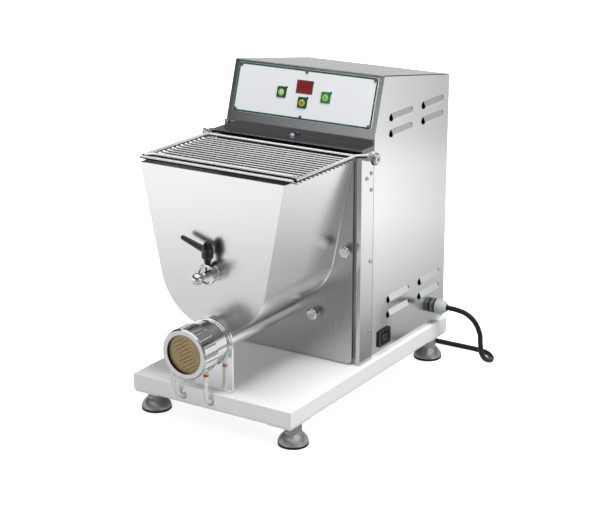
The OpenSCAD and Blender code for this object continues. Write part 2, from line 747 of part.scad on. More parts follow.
module lid_frame() place() color("#d4d6d7") {
    rear = [lid_x, lid_rear_y, lid_rod_z];
    knee = [ear_x + ear_t/2, plate_y, lid_rod_z];
    for (m = [0, 1]) mirror([m, 0, 0]) {
        translate([lid_x, 0, lid_rod_z]) rod_y(lid_rod_r, lid_front_y - lid_rod_r, lid_rear_y + 2);
        bar(rear, knee, lid_rod_r - 0.3);
        hinge_ear();
    }
    for (y = [lid_front_y, lid_front_y + 2.6*lid_rod_r, lid_rear_y]) translate([0, y, lid_rod_z])
        rod_x(lid_rod_r - 0.4, -lid_x, lid_x);
}

module lid_wires() place() color("#dcdedf") {
    first = lid_front_y + 4.6;
    n = floor((lid_rear_y - 4 - first)/lid_pitch);
    for (i = [0:n]) bar([-lid_x - 3, first + i*lid_pitch, lid_wire_z], [lid_x + 3, first + i*lid_pitch, lid_wire_z], lid_wire_r);
}

module hinge_bosses() place() color("#8d8f90") for (m = [0, 1]) mirror([m, 0, 0])
    translate([0, pivot_y, pivot_z]) difference() {
        rod_x(5.5, column_x, ear_x - run);
        rod_x(pivot_shank_r, column_x + 2, ear_x);
    }

module pivot_screws() place() color("#e0e1e2") for (m = [0, 1]) mirror([m, 0, 0])
    translate([0, pivot_y, pivot_z]) difference() {
        union() {
            rod_x(pivot_head_r, ear_x + ear_t + run, ear_x + ear_t + run + 3);
            translate([ear_x + ear_t + run + 3, 0, 0]) rotate([0, 90, 0]) cylinder(r1 = pivot_head_r, r2 = pivot_head_r - 1.2, h = 1.2);
            rod_x(pivot_shank_r, column_x + 2, ear_x + ear_t + run + 1);
        }
        translate([ear_x + ear_t + run + 1.4, 0, 0]) rotate([0, 90, 0]) cylinder(r = 3.4, h = 5, $fn = 6);
    }

module lid_switch() place() color("#2b2b2b") translate([column_x - frame_t - 20, wall_back_y, pivot_z - 18]) {
    cube([20, 12, 26]);
    translate([7, 3, 26 - eps]) cube([6, 6, 3]);
}

// ---------------------------------------------------------------- mixer

paddle_reach = tub_r - tub_t - 4;
hub_r = 13;
tang = 13;
tang_y0 = plate_y - 24;
paddle_y = [for (i = [0:4]) tub_front_y + 26 + i*34];

module mixer_paddle() place() color("#c9cccd") at_mixer() difference() {
    union() {
        rod_y(shaft_r, tub_front_y + tub_t + 4, plate_y - 20);
        rod_y(hub_r, tub_front_y + tub_t + 2, tub_front_y + tub_t + 20);
        rod_y(hub_r, plate_y - 28, plate_y - 6);
        for (i = [0:4]) translate([0, paddle_y[i], 0]) rotate([0, i*144, 0]) {
            cylinder(r = 5, h = paddle_reach - 12);
            translate([0, 0, paddle_reach - 24]) rotate([0, 0, 32 - 64*(i%2)]) translate([-2, -15, 0]) cube([4, 30, 23]);
        }
    }
    rod_y(pin_r + run, tub_front_y, pin_in_y + 3);
    translate([-tang/2 - slip, tang_y0 - 1, -tang/2 - slip]) cube([tang + 2*slip, 40, tang + 2*slip]);
}

// drive shaft with a square front tang, on the axis y
module drive_shaft() {
    translate([-tang/2, tang_y0, -tang/2]) cube([tang, plate_y - 2 - tang_y0, tang]);
    rod_y(shaft_r, plate_y - 4, gear_y1 + 3);
}

bearing_y1 = wall_back_y + 15;
gear_y0 = bearing_y1 + 2;
gear_y1 = gear_y0 + gear_w;

module mixer_shaft() place() color("#a9acae") at_mixer() drive_shaft();
module auger_shaft() place() color("#a9acae") at_barrel() drive_shaft();

module shaft_seals() place() color("#33221a") {
    at_mixer() seal();
    at_barrel() seal();
}

module seal() {
    turned([[shaft_r + fit, plate_y + 0.5], [seal_r, plate_y + 0.5], [seal_r, wall_y], [shaft_r + fit + 1.5, wall_y],
        [shaft_r + fit + 1.5, plate_y + 2.5], [shaft_r + fit, plate_y + 2.5]]);
}

module bearing_housing() {
    turned([[shaft_r + 0.05, wall_back_y], [shaft_r + 18, wall_back_y], [shaft_r + 18, wall_back_y + 4],
        [shaft_r + 10, wall_back_y + 5.5], [shaft_r + 9, bearing_y1], [shaft_r + 0.05, bearing_y1]]);
}

module mixer_bearing() place() color("#7f8385") at_mixer() bearing_housing();
module auger_bearing() place() color("#7f8385") at_barrel() bearing_housing();

// ---------------------------------------------------------------- gears

pressure = 20;
backlash = 0.14;                           // share of the module
function inv(a) = tan(a)*180/PI - a;       // involute angle, degrees
function flank(rb, half, r) = half - (r <= rb ? 0 : inv(acos(rb/r)));
module gear_outline(teeth, phase) {
    rp = gear_m*teeth/2;
    rb = rp*cos(pressure);
    half = 90/teeth - backlash*gear_m/rp*90/PI + inv(pressure);
    root = rp - 1.2*gear_m;
    tip = rp + 0.85*gear_m;
    radii = [root, max(rb, root + 0.1), (max(rb, root) + rp)/2, rp, (rp + tip)/2, tip];
    polygon([for (i = [0:teeth - 1], s = [-1, 1], k = [0:5])
        let (r = radii[s < 0 ? k : 5 - k], a = phase + i*360/teeth + s*flank(rb, half, r)) [r*cos(a), r*sin(a)]]);
}

mesh_angle = atan2(auger_z - mixer_z, barrel_x);
mesh_share = (mesh_angle + 360)*mixer_teeth/360 - floor((mesh_angle + 360)*mixer_teeth/360);
auger_phase = mesh_angle + 180 + (mesh_share + 0.5)*360/auger_teeth;
mixer_top_share = 90*mixer_teeth/360 - floor(90*mixer_teeth/360);
pinion_phase = 270 + (mixer_top_share + 0.5)*360/pinion_teeth;

module gear(teeth, phase, bore) {
    back_from(gear_y0, gear_y1) difference() {
        gear_outline(teeth, phase);
        circle(bore);
    }
}

module mixer_gear() place() color("#5e6265") at_mixer() difference() {
    gear(mixer_teeth, 0, shaft_r);
    for (a = [0:60:300]) rotate([0, a, 0]) translate([0, 0, gear_m*mixer_teeth*0.33]) rod_y(13, gear_y0 - 1, gear_y1 + 1);
}

module auger_gear() place() color("#5e6265") at_barrel() gear(auger_teeth, auger_phase, shaft_r);

module drive_pinion() place() color("#75797c") translate([0, 0, pinion_z]) {
    gear(pinion_teeth, pinion_phase, 7);
    rod_y(7, gear_y0 - 4, reducer_y0 + 8);
}

// ---------------------------------------------------------------- motor

reducer_y0 = gear_y1 + 7;
reducer_y1 = reducer_y0 + 62;
motor_y1 = min(reducer_y1 + 150, rear_y - 20);
motor_r = 57;

module gear_reducer() place() color("#6f7479") translate([0, 0, pinion_z]) difference() {
    union() {
        rod_y(52, reducer_y0 + 6, reducer_y1);
        rod_y(60, reducer_y1 - 8, reducer_y1);
        back_from(reducer_y0, reducer_y0 + 10) round_rect(150, 96, 12);
        for (x = [-1, 1], z = [-1, 1]) translate([x*66, 0, z*36]) rod_y(8, wall_back_y, reducer_y0 + 1);
    }
    rod_y(7 + slip, reducer_y0 - 1, reducer_y0 + 9);
}

module motor() place() color("#3c4a55") translate([0, 0, pinion_z]) {
    rod_y(motor_r - 5, reducer_y1, motor_y1 - 30);
    for (a = [0:15:345]) rotate([0, a, 0]) translate([-1.2, reducer_y1 + 8, 0]) cube([2.4, motor_y1 - 46 - reducer_y1, motor_r]);
    rod_y(motor_r, motor_y1 - 34, motor_y1);
    rod_y(motor_r, reducer_y1, reducer_y1 + 8);
    translate([-28, reducer_y1 + 30, motor_r - 9]) cube([56, 60, 26]);
}

module run_capacitor() place() color("#b9bcc0") translate([-column_x + 34, 0, base_h + 40]) {
    rod_y(20, wall_back_y + 3, wall_back_y + 82);
    rod_y(4, wall_back_y, wall_back_y + 3 + eps);
}

// ---------------------------------------------------------------- barrel

// slot through which the dough drops from the tub into the barrel
module feed_mouth() {
    half = barrel_bore_r - 5;
    translate([barrel_x - half, tub_front_y + tub_t + 16, auger_z + barrel_bore_r*0.4])
        cube([2*half, plate_y - tub_front_y - tub_t - 24, 3*barrel_bore_r]);
}

nut_y0 = -nose_overhang;
nut_y1 = nut_y0 + nut_l;
lip_t = 4;
die_y0 = nut_y0 + lip_t + run;
nose_y0 = die_y0 + die_t;
nose_r = nut_mouth_r + 2.8;
support_t = 4;
support_y = tub_front_y - support_t;
jacket_y0 = nut_y1 + 1;
jacket_flange_y = support_y - 4;
support_r = 39;

module barrel_tube() place() color("#d6d8d9") difference() {
    at_barrel() union() {
        rod_y(barrel_r, nose_y0, plate_y);
        rod_y(nose_r, nose_y0, nut_y1 + 0.4);
    }
    at_barrel() rod_y(barrel_bore_r, nose_y0 - 1, plate_y + 1);
    tub_inside(tub_front_y + tub_t, plate_y + 1);
    feed_mouth();
}

module cooling_jacket() place() color("#e4e5e6") at_barrel() turned([
    [barrel_r + fit, jacket_y0], [jacket_r - 1, jacket_y0], [jacket_r, jacket_y0 + 1], [jacket_r, jacket_flange_y - 1],
    [support_r - 1.6, jacket_flange_y - 0.4], [support_r - 1, jacket_flange_y + 0.4], [support_r - 1, support_y],
    [barrel_r + fit, support_y], [barrel_r + fit, jacket_flange_y], [jacket_r - 2.5, jacket_flange_y - 2],
    [jacket_r - 2.5, jacket_y0 + 2.5], [barrel_r + fit, jacket_y0 + 2.5]
]);

module ring_nut() place() color("#d9dbdc") at_barrel() difference() {
    turned([
        [nut_mouth_r, nut_y0], [nut_r - 2.2, nut_y0], [nut_r, nut_y0 + 2.2], [nut_r, nut_y1 - 0.8], [nut_r - 0.8, nut_y1],
        [nose_r + run, nut_y1], [nose_r + run, nut_y0 + lip_t], [nut_mouth_r, nut_y0 + lip_t]
    ]);
    for (i = [0:nut_flutes - 1]) rotate([0, i*360/nut_flutes, 0]) translate([0, 0, nut_r + 0.2]) rod_y(2.1, nut_y0 + 2, nut_y1 + 1);
}

module die() place() color("#9c8660") at_barrel() difference() {
    rod_y(nose_r - run, die_y0, nose_y0);
    for (i = [-4:4]) rotate([0, -32, 0]) translate([(i%2)*4 - 13, die_y0 - 1, i*5.6 - 0.3]) cube([26, die_t + 2, 0.6]);
}

module barrel_support() place() color("#e3e4e5") back_from(support_y, tub_front_y) difference() {
    union() {
        translate([barrel_x, auger_z]) circle(support_r);
        translate([barrel_x - support_r, base_h + 10]) square([2*support_r, auger_z - base_h - 10]);
        translate([barrel_x - support_r + 10, base_h]) square([2*support_r - 20, 10]);
        for (s = [-1, 1]) translate([barrel_x + s*(support_r - 10), base_h + 10]) circle(10);
    }
    translate([barrel_x, auger_z]) circle(barrel_r + fit);
    translate([barrel_x - 25, base_h - 1]) square([50, 3]);
}

// ---------------------------------------------------------------- auger

auger_r = barrel_bore_r - 0.5;
auger_core = 8;
auger_y0 = nose_y0 + 2;
auger_y1 = plate_y - 6;

// helical flight with a rectangular section, wound about the Y axis
module flight(y0, y1, pitch, r0, r1, t) {
    steps = ceil((y1 - y0)/pitch*14);
    pts = [for (i = [0:steps]) let (y = y0 + (y1 - y0)*i/steps, a = 360*(y - y0)/pitch)
        for (q = [[r0, -t/2], [r1, -t/2], [r1, t/2], [r0, t/2]]) [q[0]*cos(a), y + q[1], q[0]*sin(a)]];
    faces = [for (i = [0:steps - 1], k = [0:3], half = [0, 1]) let (a = i*4 + k, b = i*4 + (k + 1)%4)
        half == 0 ? [a, a + 4, b + 4] : [a, b + 4, b]];
    polyhedron(pts, concat([[3, 2, 1, 0]], faces, [[steps*4, steps*4 + 1, steps*4 + 2, steps*4 + 3]]));
}

module auger() place() color("#c4c6c7") at_barrel() difference() {
    union() {
        rod_y(auger_core, auger_y0, auger_y1 - 16);
        rod_y(auger_core + 4, auger_y1 - 22, auger_y1);
        flight(auger_y0 + 3, auger_y1 - 26, auger_pitch, auger_core - 1, auger_r, 4);
    }
    translate([-tang/2 - slip, tang_y0 - 1, -tang/2 - slip]) cube([tang + 2*slip, 40, tang + 2*slip]);
}

// ---------------------------------------------------------------- water hoses

hose_front_y = -13.5;                      // how far the hoses bow out in front of the base
hose_r = hose_d/2;
nipple_r = 2.4;
right_hose = [
    [hose_ports_x[1] + 2, hose_front_y, auger_z - jacket_r - 8], [hose_ports_x[1] + 1.6, hose_front_y, base_h + 18],
    [hose_ports_x[1] + 1, hose_front_y, base_h + 2], [hose_ports_x[1] + 0.4, hose_front_y + 3.4, hose_port_z + 5.4],
    [hose_ports_x[1], hose_front_y + 8.6, hose_port_z + 0.6], [hose_ports_x[1], 2, hose_port_z]
];
left_hose = [
    [barrel_x - 44, hose_front_y + 2, auger_z - 17], [hose_ports_x[0] - 5, hose_front_y + 1, auger_z - 25],
    [hose_ports_x[0] - 9.5, hose_front_y, auger_z - 38], [hose_ports_x[0] - 10, hose_front_y, base_h + 28],
    [hose_ports_x[0] - 7, hose_front_y, base_h + 8], [hose_ports_x[0] - 2.4, hose_front_y + 3, hose_port_z + 6],
    [hose_ports_x[0], hose_front_y + 8.6, hose_port_z + 0.6], [hose_ports_x[0], 2, hose_port_z]
];

module water_hoses() place() color("#e8e8e0") {
    tube_along(smooth(right_hose, 4), hose_r, 10, [1, 0, 0]);
    tube_along(smooth(left_hose, 4), hose_r, 10, [1, 0, 0]);
}

module hose_band() place() color("#d0281e") translate([hose_ports_x[1] + 2, hose_front_y, auger_z - jacket_r - 14])
    difference() {
        cylinder(r = hose_r + 1, h = 3.4);
        translate([0, 0, -1]) cylinder(r = hose_r + fit, h = 6);
    }

module hose_fittings() place() color("#dddfe0") {
    for (x = hose_ports_x) translate([x, 0, hose_port_z]) turned([
        [hose_r + fit, -2.4], [6.2, -2.4], [7.2, -1.4], [7.2, 0], [fitting_r, 0], [fitting_r, 9],
        [2, 9], [2, 2.2], [hose_r + fit, 2.2]
    ]);
    // nipples on the jacket
    translate([hose_ports_x[1] + 2, hose_front_y, auger_z - jacket_r - 8]) difference() {
        cylinder(r = nipple_r, h = 11);
        translate([barrel_x - hose_ports_x[1] - 2, 0, jacket_r + 8]) rod_y(jacket_r, -30, 30);
    }
    difference() {
        bar(left_hose[0], left_hose[0] + 2.2*(left_hose[0] - left_hose[1]), nipple_r);
        at_barrel() rod_y(jacket_r, -40, 20);
    }
}

// ---------------------------------------------------------------- outlet, gland and cord

module accessory_socket() place() color("#171717") translate([column_x, socket_y, socket_z]) difference() {
    union() {
        rotate([90, 0, 90]) linear_extrude(socket_t) round_rect(socket_w, socket_h, 3.5);
        translate([-24, -socket_w/2 + 4.3, -socket_h/2 + 2.3]) cube([24 + eps, socket_w - 8.6, socket_h - 4.6]);
    }
    translate([-12, 0, 0]) rotate([90, 0, 90]) linear_extrude(20) difference() {
        round_rect(26.4, 19.6, 5);
        round_rect(21, 14.4, 2.5);
    }
    for (y = [-6, 0, 6]) translate([-8, y - 1.1, y == 0 ? 0.4 : -4.6]) cube([20, 2.2, 4.2]);
}

gland_l = 30;                              // how far the gland stands out of the panel
gland_cap_l = 19.6;

module cable_gland() place() color("#b9c0c0") translate([column_x, gland_y, gland_z]) {
    cap_x = gland_l - gland_cap_l;
    difference() {
        union() {
            rod_x(12.6, 0, 1.6);
            translate([1.6, 0, 0]) rotate([0, 90, 0]) cylinder(r = 13.6, h = cap_x - 4.2, $fn = 6);
            rod_x(12.3, cap_x - 2.6, cap_x);
            rod_x(gland_r, -12, 1);
            translate([-8, 0, 0]) rotate([0, 90, 0]) cylinder(r = 14.5, h = 8 - cover_t, $fn = 6);
            rod_x(10, 4, cap_x + 3);
        }
        rod_x(cord_r + 1, -13, gland_l);
    }
    translate([cap_x, 0, 0]) rotate([0, 90, 0]) rotate_extrude() polygon([
        [9.9, 0], [12.4, 0], [12.9, 0.8], [12.9, 5], [12.5, 8.6], [11.3, 13], [9.4, 16.8], [7.2, gland_cap_l],
        [cord_r + 0.4, gland_cap_l], [cord_r + 0.4, 4], [9.9, 4]
    ]);
}

cord_r = cord_d/2;
coil_at = [-85, base_d + 92];              // middle of the coil on plan
coil_turn_r = 6.5*cord_d;                  // radius of the outer turns
coil_outer = coil_turn_r + cord_r;
coil_inner = coil_turn_r - cord_d - cord_r;
floor_z = cord_r - foot_h;                 // height of a cord that lies on the bench
back_run_y = coil_at[1] - coil_turn_r;
cord_route = [
    [column_x + gland_l - 8, gland_y, gland_z], [188, gland_y, gland_z], [209, gland_y, gland_z - 4],
    [226, gland_y, gland_z - 16], [236, gland_y, 29], [238, gland_y, 10], [238, gland_y + 6, -9], [238, gland_y + 21, -24],
    [238, gland_y + 43, floor_z], [232, back_run_y - 19, floor_z], [215, back_run_y - 5, floor_z],
    [192, back_run_y, floor_z], [150, back_run_y, floor_z], [100, back_run_y, floor_z], [50, back_run_y, floor_z],
    [0, back_run_y, floor_z], [-45, back_run_y, floor_z], [coil_at[0], back_run_y, floor_z]
];
plug_at = [-10, coil_at[1] + 60];          // middle of the plug's rear end on plan
plug_z = 9.4 - foot_h;
tail_route = [
    [coil_at[0], coil_at[1] + coil_turn_r, floor_z + cord_d], [-62, coil_at[1] + 58, floor_z + cord_d],
    [-42, coil_at[1] + 60, floor_z + 6], [-24, plug_at[1], plug_z], [plug_at[0], plug_at[1], plug_z]
];

module supply_cord() place() color("#151515") {
    tube_along(smooth(cord_route, 3), cord_r, 10, [0, 0, 1]);
    tube_along(smooth(tail_route, 2), cord_r, 10, [0, 0, 1]);
}

module cord_coil() place() color("#151515") translate([coil_at[0], coil_at[1], -foot_h]) rotate_extrude($fn = 64)
    translate([(coil_inner + coil_outer)/2, cord_d]) round_rect(coil_outer - coil_inner, 2*cord_d, 4);

module plug_body() place() color("#151515") translate([plug_at[0], plug_at[1], plug_z]) {
    rod_x(6, 0, 12);
    translate([10, 0, 0]) rotate([0, 90, 0]) cylinder(r1 = 6.5, r2 = 9, h = 8);
    translate([16, 0, 0]) rotate([90, 0, 90]) linear_extrude(30) round_rect(34, 18.8, 5);
}

module plug_pins() place() color("#c9cbcc") translate([plug_at[0] + 46, plug_at[1], plug_z])
    for (y = [-9.5, 0, 9.5]) translate([0, y, 0]) {
        rod_x(2, 0, 17);
        translate([17, 0, 0]) sphere(r = 2);
    }

base_tray();
foot_bells();
foot_pads();
front_frame();
outer_cover();
rear_panel();
fascia_panel();
control_label();
label_screws();
display_window();
button_left();
button_stop();
button_right();
indicator_leds();
control_board();
flange_screws();
rear_screws();
ledge_nut();
hinge_bosses();
pivot_screws();
lid_frame();
lid_wires();
lid_switch();
hopper();
back_plate();
hand_screw_1();
hand_screw_2();
hand_screw_3();
hand_screw_4();
pin_boss();
pin_knob();
clamp_lever();
mixer_paddle();
mixer_shaft();
shaft_seals();
mixer_bearing();
mixer_gear();
auger();
auger_shaft();
auger_bearing();
auger_gear();
barrel_tube();
cooling_jacket();
ring_nut();
die();
barrel_support();
drive_pinion();
gear_reducer();
motor();
run_capacitor();
water_hoses();
hose_band();
hose_fittings();
accessory_socket();
cable_gland();
supply_cord();
cord_coil();
plug_body();
plug_pins();
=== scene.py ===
"""Cord, hoses, printed panel, fine parts, finishes and studio for the electric pasta maker."""

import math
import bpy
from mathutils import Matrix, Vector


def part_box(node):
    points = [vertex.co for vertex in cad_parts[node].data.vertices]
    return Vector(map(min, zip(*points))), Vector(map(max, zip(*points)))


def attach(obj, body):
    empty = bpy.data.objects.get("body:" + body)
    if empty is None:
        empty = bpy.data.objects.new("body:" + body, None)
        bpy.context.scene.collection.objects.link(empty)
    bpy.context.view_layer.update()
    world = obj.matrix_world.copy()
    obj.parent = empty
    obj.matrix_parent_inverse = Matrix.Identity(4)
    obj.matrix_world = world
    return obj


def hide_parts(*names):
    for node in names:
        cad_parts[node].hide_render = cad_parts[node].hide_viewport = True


bl_info = {
    "name": "Pasta maker finishing",
    "version": (1, 0, 0),
    "blender": (4, 5, 0),
    "location": "View3D > Sidebar > Pasta maker",
    "description": "Adds the cord, hoses, printed panel, fine parts and finishes of the pasta maker",
    "category": "Object",
}

import bpy
from bpy.props import FloatProperty, FloatVectorProperty, IntProperty, PointerProperty
from mathutils import Matrix, Vector

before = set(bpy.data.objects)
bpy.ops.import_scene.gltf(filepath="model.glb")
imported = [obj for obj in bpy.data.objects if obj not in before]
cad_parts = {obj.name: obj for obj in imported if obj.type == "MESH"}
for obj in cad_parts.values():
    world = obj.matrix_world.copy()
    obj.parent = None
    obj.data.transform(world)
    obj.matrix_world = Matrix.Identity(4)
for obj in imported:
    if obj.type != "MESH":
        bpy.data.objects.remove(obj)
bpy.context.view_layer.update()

# ---------------------------------------------------------------- units and places

MM = 0.001
MID_Y = 224.0  # middle of the machine's outline behind the front edge of its base, mm
FOOT_H = 37.5  # underside of the base above the bench, mm
COLUMN_X = 141.8  # half the width of the column, mm
FASCIA_LEAN = math.radians(17.3)
FASCIA_FOOT = (0.0, 257.0, 402.0)  # middle of the fascia's lower edge, mm
LABEL_TOP = 0.6  # outer face of the label above the fascia's own plane, mm
LABEL_V = 53.8  # middle of the label up the fascia, mm
BARREL_AXIS = (-4.0, 112.07)  # x and z of the auger's axis, mm
TUB_MIDDLE = (0.0, 120.0, 270.0)  # inside the tub, mm
LEDGE_Z = 391.5  # top of the ledge under the fascia, mm
GLAND_CAP_X = 10.4  # start of the gland's light cap out of the column's side, mm
BUTTON_TOP, DISPLAY_TOP = 1.6, 0.8  # outer faces above the fascia's own plane, mm
DISPLAY_V = 66.0  # middle of the display up the fascia, mm
# middles of the buttons across and up the fascia, mm
BUTTONS = {"button_left": (-42.0, 53.8), "button_stop": (0.0, 40.8), "button_right": (42.0, 53.8)}


def at(x, y, z):
    """Turns mm from the middle of the base's front lower edge into metres in the shared frame."""
    return Vector((x, y - MID_Y, z + FOOT_H)) * MM


def on_fascia(x, v, n):
    """Matrix of a place on the sloping fascia: x across, v up the slope, n out of it, in mm."""
    across = Vector((1, 0, 0))
    up = Vector((0, math.sin(FASCIA_LEAN), math.cos(FASCIA_LEAN)))
    out = across.cross(up)
    turn = Matrix((across, up, out)).transposed().to_4x4()
    return Matrix.Translation(at(*FASCIA_FOOT)) @ turn @ Matrix.Translation(Vector((x, v, n)) * MM)


def crosswise(x, y, z, side=1):
    """Matrix of a place in mm, turned so that a piece's own Z points out to one side of the machine."""
    return Matrix.Translation(at(x, y, z)) @ Matrix.Rotation(side * math.pi / 2, 4, "Y")


def catmull_rom(points, steps):
    """Smooth line through given points."""
    line = []
    for i in range(len(points) - 1):
        a, b, c, d = (Vector(points[min(max(i + k, 0), len(points) - 1)]) for k in (-1, 0, 1, 2))
        for s in range(steps):
            t = s / steps
            bend = (2 * a - 5 * b + 4 * c - d) * t**2 + (3 * b - a - 3 * c + d) * t**3
            line.append(0.5 * (2 * b + (c - a) * t + bend))
    return line + [Vector(points[-1])]


def smoothstep(t, low, high):
    """Eased share from 0 at low to 1 at high."""
    k = min(max((t - low) / (high - low), 0), 1)
    return k * k * (3 - 2 * k)


# ---------------------------------------------------------------- modelling


def deselect():
    """Object mode with nothing selected."""
    if bpy.context.object and bpy.context.object.mode != "OBJECT":
        bpy.ops.object.mode_set(mode="OBJECT")
    bpy.ops.object.select_all(action="DESELECT")


def pick(obj):
    """Selects one object and makes it active."""
    deselect()
    obj.select_set(True)
    bpy.context.view_layer.objects.active = obj
    return obj


def shell(name, mesh):
    """New object with its own copy of a mesh, picked."""
    made = bpy.data.objects.new(name, mesh.copy())
    bpy.context.collection.objects.link(made)
    return pick(made)


def edit(mode="FACE"):
    """Edit mode with everything selected."""
    bpy.ops.object.mode_set(mode="EDIT")
    bpy.ops.mesh.select_mode(type=mode)
    bpy.ops.mesh.select_all(action="SELECT")


def turned(profile, sides=48):
    """Disc drawn along its own Z and scaled through (radius, height) pairs in mm."""
    deselect()
    radius, height = profile[0]
    bpy.ops.mesh.primitive_circle_add(
        vertices=sides, radius=radius * MM, fill_type="NGON", location=(0, 0, height * MM)
    )
    edit()
    for r, z in profile[1:]:
        bpy.ops.mesh.extrude_region_move(TRANSFORM_OT_translate={"value": (0, 0, (z - height) * MM)})
        bpy.ops.transform.resize(value=(r / radius, r / radius, 1), center_override=(0, 0, z * MM))
        radius, height = r, z
    bpy.ops.object.mode_set(mode="OBJECT")
    return bpy.context.object


def bent_rod(radius, start, moves, sides=20):
    """Round rod that sets out along Y: runs are (x, y, z) steps, bends are (centre, angle) turns; in mm."""
    deselect()
    bpy.ops.mesh.primitive_circle_add(
        vertices=sides, radius=radius * MM, fill_type="NGON", location=at(*start),
        rotation=(math.pi / 2, 0, 0),
    )
    edit()
    for move in moves:
        if len(move) == 3:
            bpy.ops.mesh.extrude_region_move(TRANSFORM_OT_translate={"value": Vector(move) * MM})
        else:
            bpy.ops.mesh.spin(steps=8, angle=move[1], center=at(*move[0]), axis=(0, 0, 1))
    bpy.ops.object.mode_set(mode="OBJECT")
    return bpy.context.object


def outline(width, length, corner, segments=6):
    """Flat face with round corners on its own XY plane, left in edit mode; sizes in mm."""
    deselect()
    bpy.ops.mesh.primitive_plane_add(size=MM)
    edit("VERT")
    bpy.ops.transform.resize(value=(width, length, 1))
    if corner:
        bpy.ops.mesh.bevel(affect="VERTICES", offset=corner * MM, segments=segments)
    bpy.ops.mesh.select_mode(type="FACE")
    bpy.ops.mesh.select_all(action="SELECT")
    return bpy.context.object


def plate(width, length, corner, thick, chamfer=0.0):
    """Plate with round corners standing on its own XY plane; sizes in mm."""
    obj = outline(width, length, corner)
    bpy.ops.mesh.extrude_region_move(TRANSFORM_OT_translate={"value": (0, 0, thick * MM)})
    if chamfer:
        bpy.ops.mesh.inset(thickness=chamfer * MM)
        bpy.ops.transform.translate(value=(0, 0, chamfer * 0.6 * MM))
    bpy.ops.object.mode_set(mode="OBJECT")
    return obj


def rim(width, length, corner, line, thick):
    """Flat frame of one line width round a rounded rectangle; sizes in mm."""
    obj = outline(width, length, corner)
    bpy.ops.mesh.inset(thickness=line * MM)
    bpy.ops.mesh.delete(type="FACE")
    bpy.ops.mesh.select_all(action="SELECT")
    bpy.ops.mesh.extrude_region_move(TRANSFORM_OT_translate={"value": (0, 0, thick * MM)})
    bpy.ops.object.mode_set(mode="OBJECT")
    return obj


def copies(obj, matrices):
    """One joined object made of a copy of obj at each matrix; obj itself goes."""
    made = []
    for matrix in matrices:
        twin = obj.copy()
        twin.data = obj.data.copy()
        twin.matrix_world = matrix @ obj.matrix_world
        bpy.context.collection.objects.link(twin)
        made.append(twin)
    bpy.data.objects.remove(obj)
    deselect()
    for twin in made:
        twin.select_set(True)
    bpy.context.view_layer.objects.active = made[0]
    if len(made) > 1:
        bpy.ops.object.join()
    return bpy.context.object


def cut(obj, tool, how="DIFFERENCE"):
    """Takes the tool's shape out of obj, or joins it on."""
    pick(obj)
    mod = obj.modifiers.new("cut", "BOOLEAN")
    mod.operation, mod.object, mod.solver = how, tool, "EXACT"
    bpy.ops.object.modifier_apply(modifier=mod.name)
    bpy.data.objects.remove(tool)
    return obj


def settle(obj, name, body, finish, matrix=None, angle=35):
    """Names a piece, puts its place in its mesh, smooths it, gives its finish and lets it ride."""
    pick(obj)
    if matrix is not None:
        obj.matrix_world = matrix @ obj.matrix_world
    obj.name = obj.data.name = name
    bpy.ops.object.transform_apply(location=True, rotation=True, scale=True)
    edit("VERT")
    bpy.ops.mesh.remove_doubles(threshold=1e-6)
    bpy.ops.mesh.normals_make_consistent(inside=False)
    bpy.ops.object.mode_set(mode="OBJECT")
    bpy.ops.object.shade_smooth_by_angle(angle=math.radians(angle))
    obj.data.materials.clear()
    obj.data.materials.append(finish)
    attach(obj, body)
    return obj


# ---------------------------------------------------------------- materials


def srgb(text):
    """Linear colour of an sRGB hex value."""
    parts = [int(text[i : i + 2], 16) / 255 for i in (1, 3, 5)]
    return [c / 12.92 if c <= 0.04045 else ((c + 0.055) / 1.055) ** 2.4 for c in parts] + [1.0]


def add_node(tree, kind, inputs=None, **settings):
    """Adds a node; an input is given a value, or the socket that is linked to it."""
    made = tree.nodes.new(kind)
    for key, value in settings.items():
        setattr(made, key, value)
    for key, value in (inputs or {}).items():
        if isinstance(value, bpy.types.NodeSocket):
            tree.links.new(value, made.inputs[key])
        else:
            made.inputs[key].default_value = value
    return made


def new_material(name, colour, **sockets):
    """Material with its Principled shader's sockets set; returns it with its tree and shader."""
    made = bpy.data.materials.new(name)
    made.use_nodes = True
    tree = made.node_tree
    shader = tree.nodes["Principled BSDF"]
    shader.inputs["Base Color"].default_value = srgb(colour)
    for key, value in sockets.items():
        shader.inputs[key.replace("_", " ")].default_value = value
    return made, tree, shader


def grain(tree, spacing, along=None, run=1.0, detail=2.0, rough=0.5):
    """Noise over the object: grains spacing mm wide, drawn out to run mm along one axis."""
    scale = [1 / (spacing * MM)] * 3
    if along:
        scale["XYZ".index(along)] = 1 / (run * MM)
    place = add_node(tree, "ShaderNodeTexCoord").outputs["Object"]
    place = add_node(tree, "ShaderNodeMapping", {"Vector": place, "Scale": scale}).outputs["Vector"]
    sockets = {"Vector": place, "Scale": 1.0, "Detail": detail, "Roughness": rough}
    return add_node(tree, "ShaderNodeTexNoise", sockets).outputs["Fac"]


def share(tree, vector, axis, start, end, low=0.0, high=1.0):
    """Value from low to high between two values of a vector's one axis."""
    part = add_node(tree, "ShaderNodeSeparateXYZ", {"Vector": vector}).outputs[axis]
    sockets = {"Value": part, "From Min": start, "From Max": end, "To Min": low, "To Max": high}
    return add_node(tree, "ShaderNodeMapRange", sockets).outputs["Result"]


def by_place(tree, *limits):
    """Share along an axis of the object, between two places in metres."""
    return share(tree, add_node(tree, "ShaderNodeTexCoord").outputs["Object"], *limits)


def by_facing(tree, *limits):
    """Share by how far a face turns towards an axis."""
    return share(tree, add_node(tree, "ShaderNodeNewGeometry").outputs["Normal"], *limits)


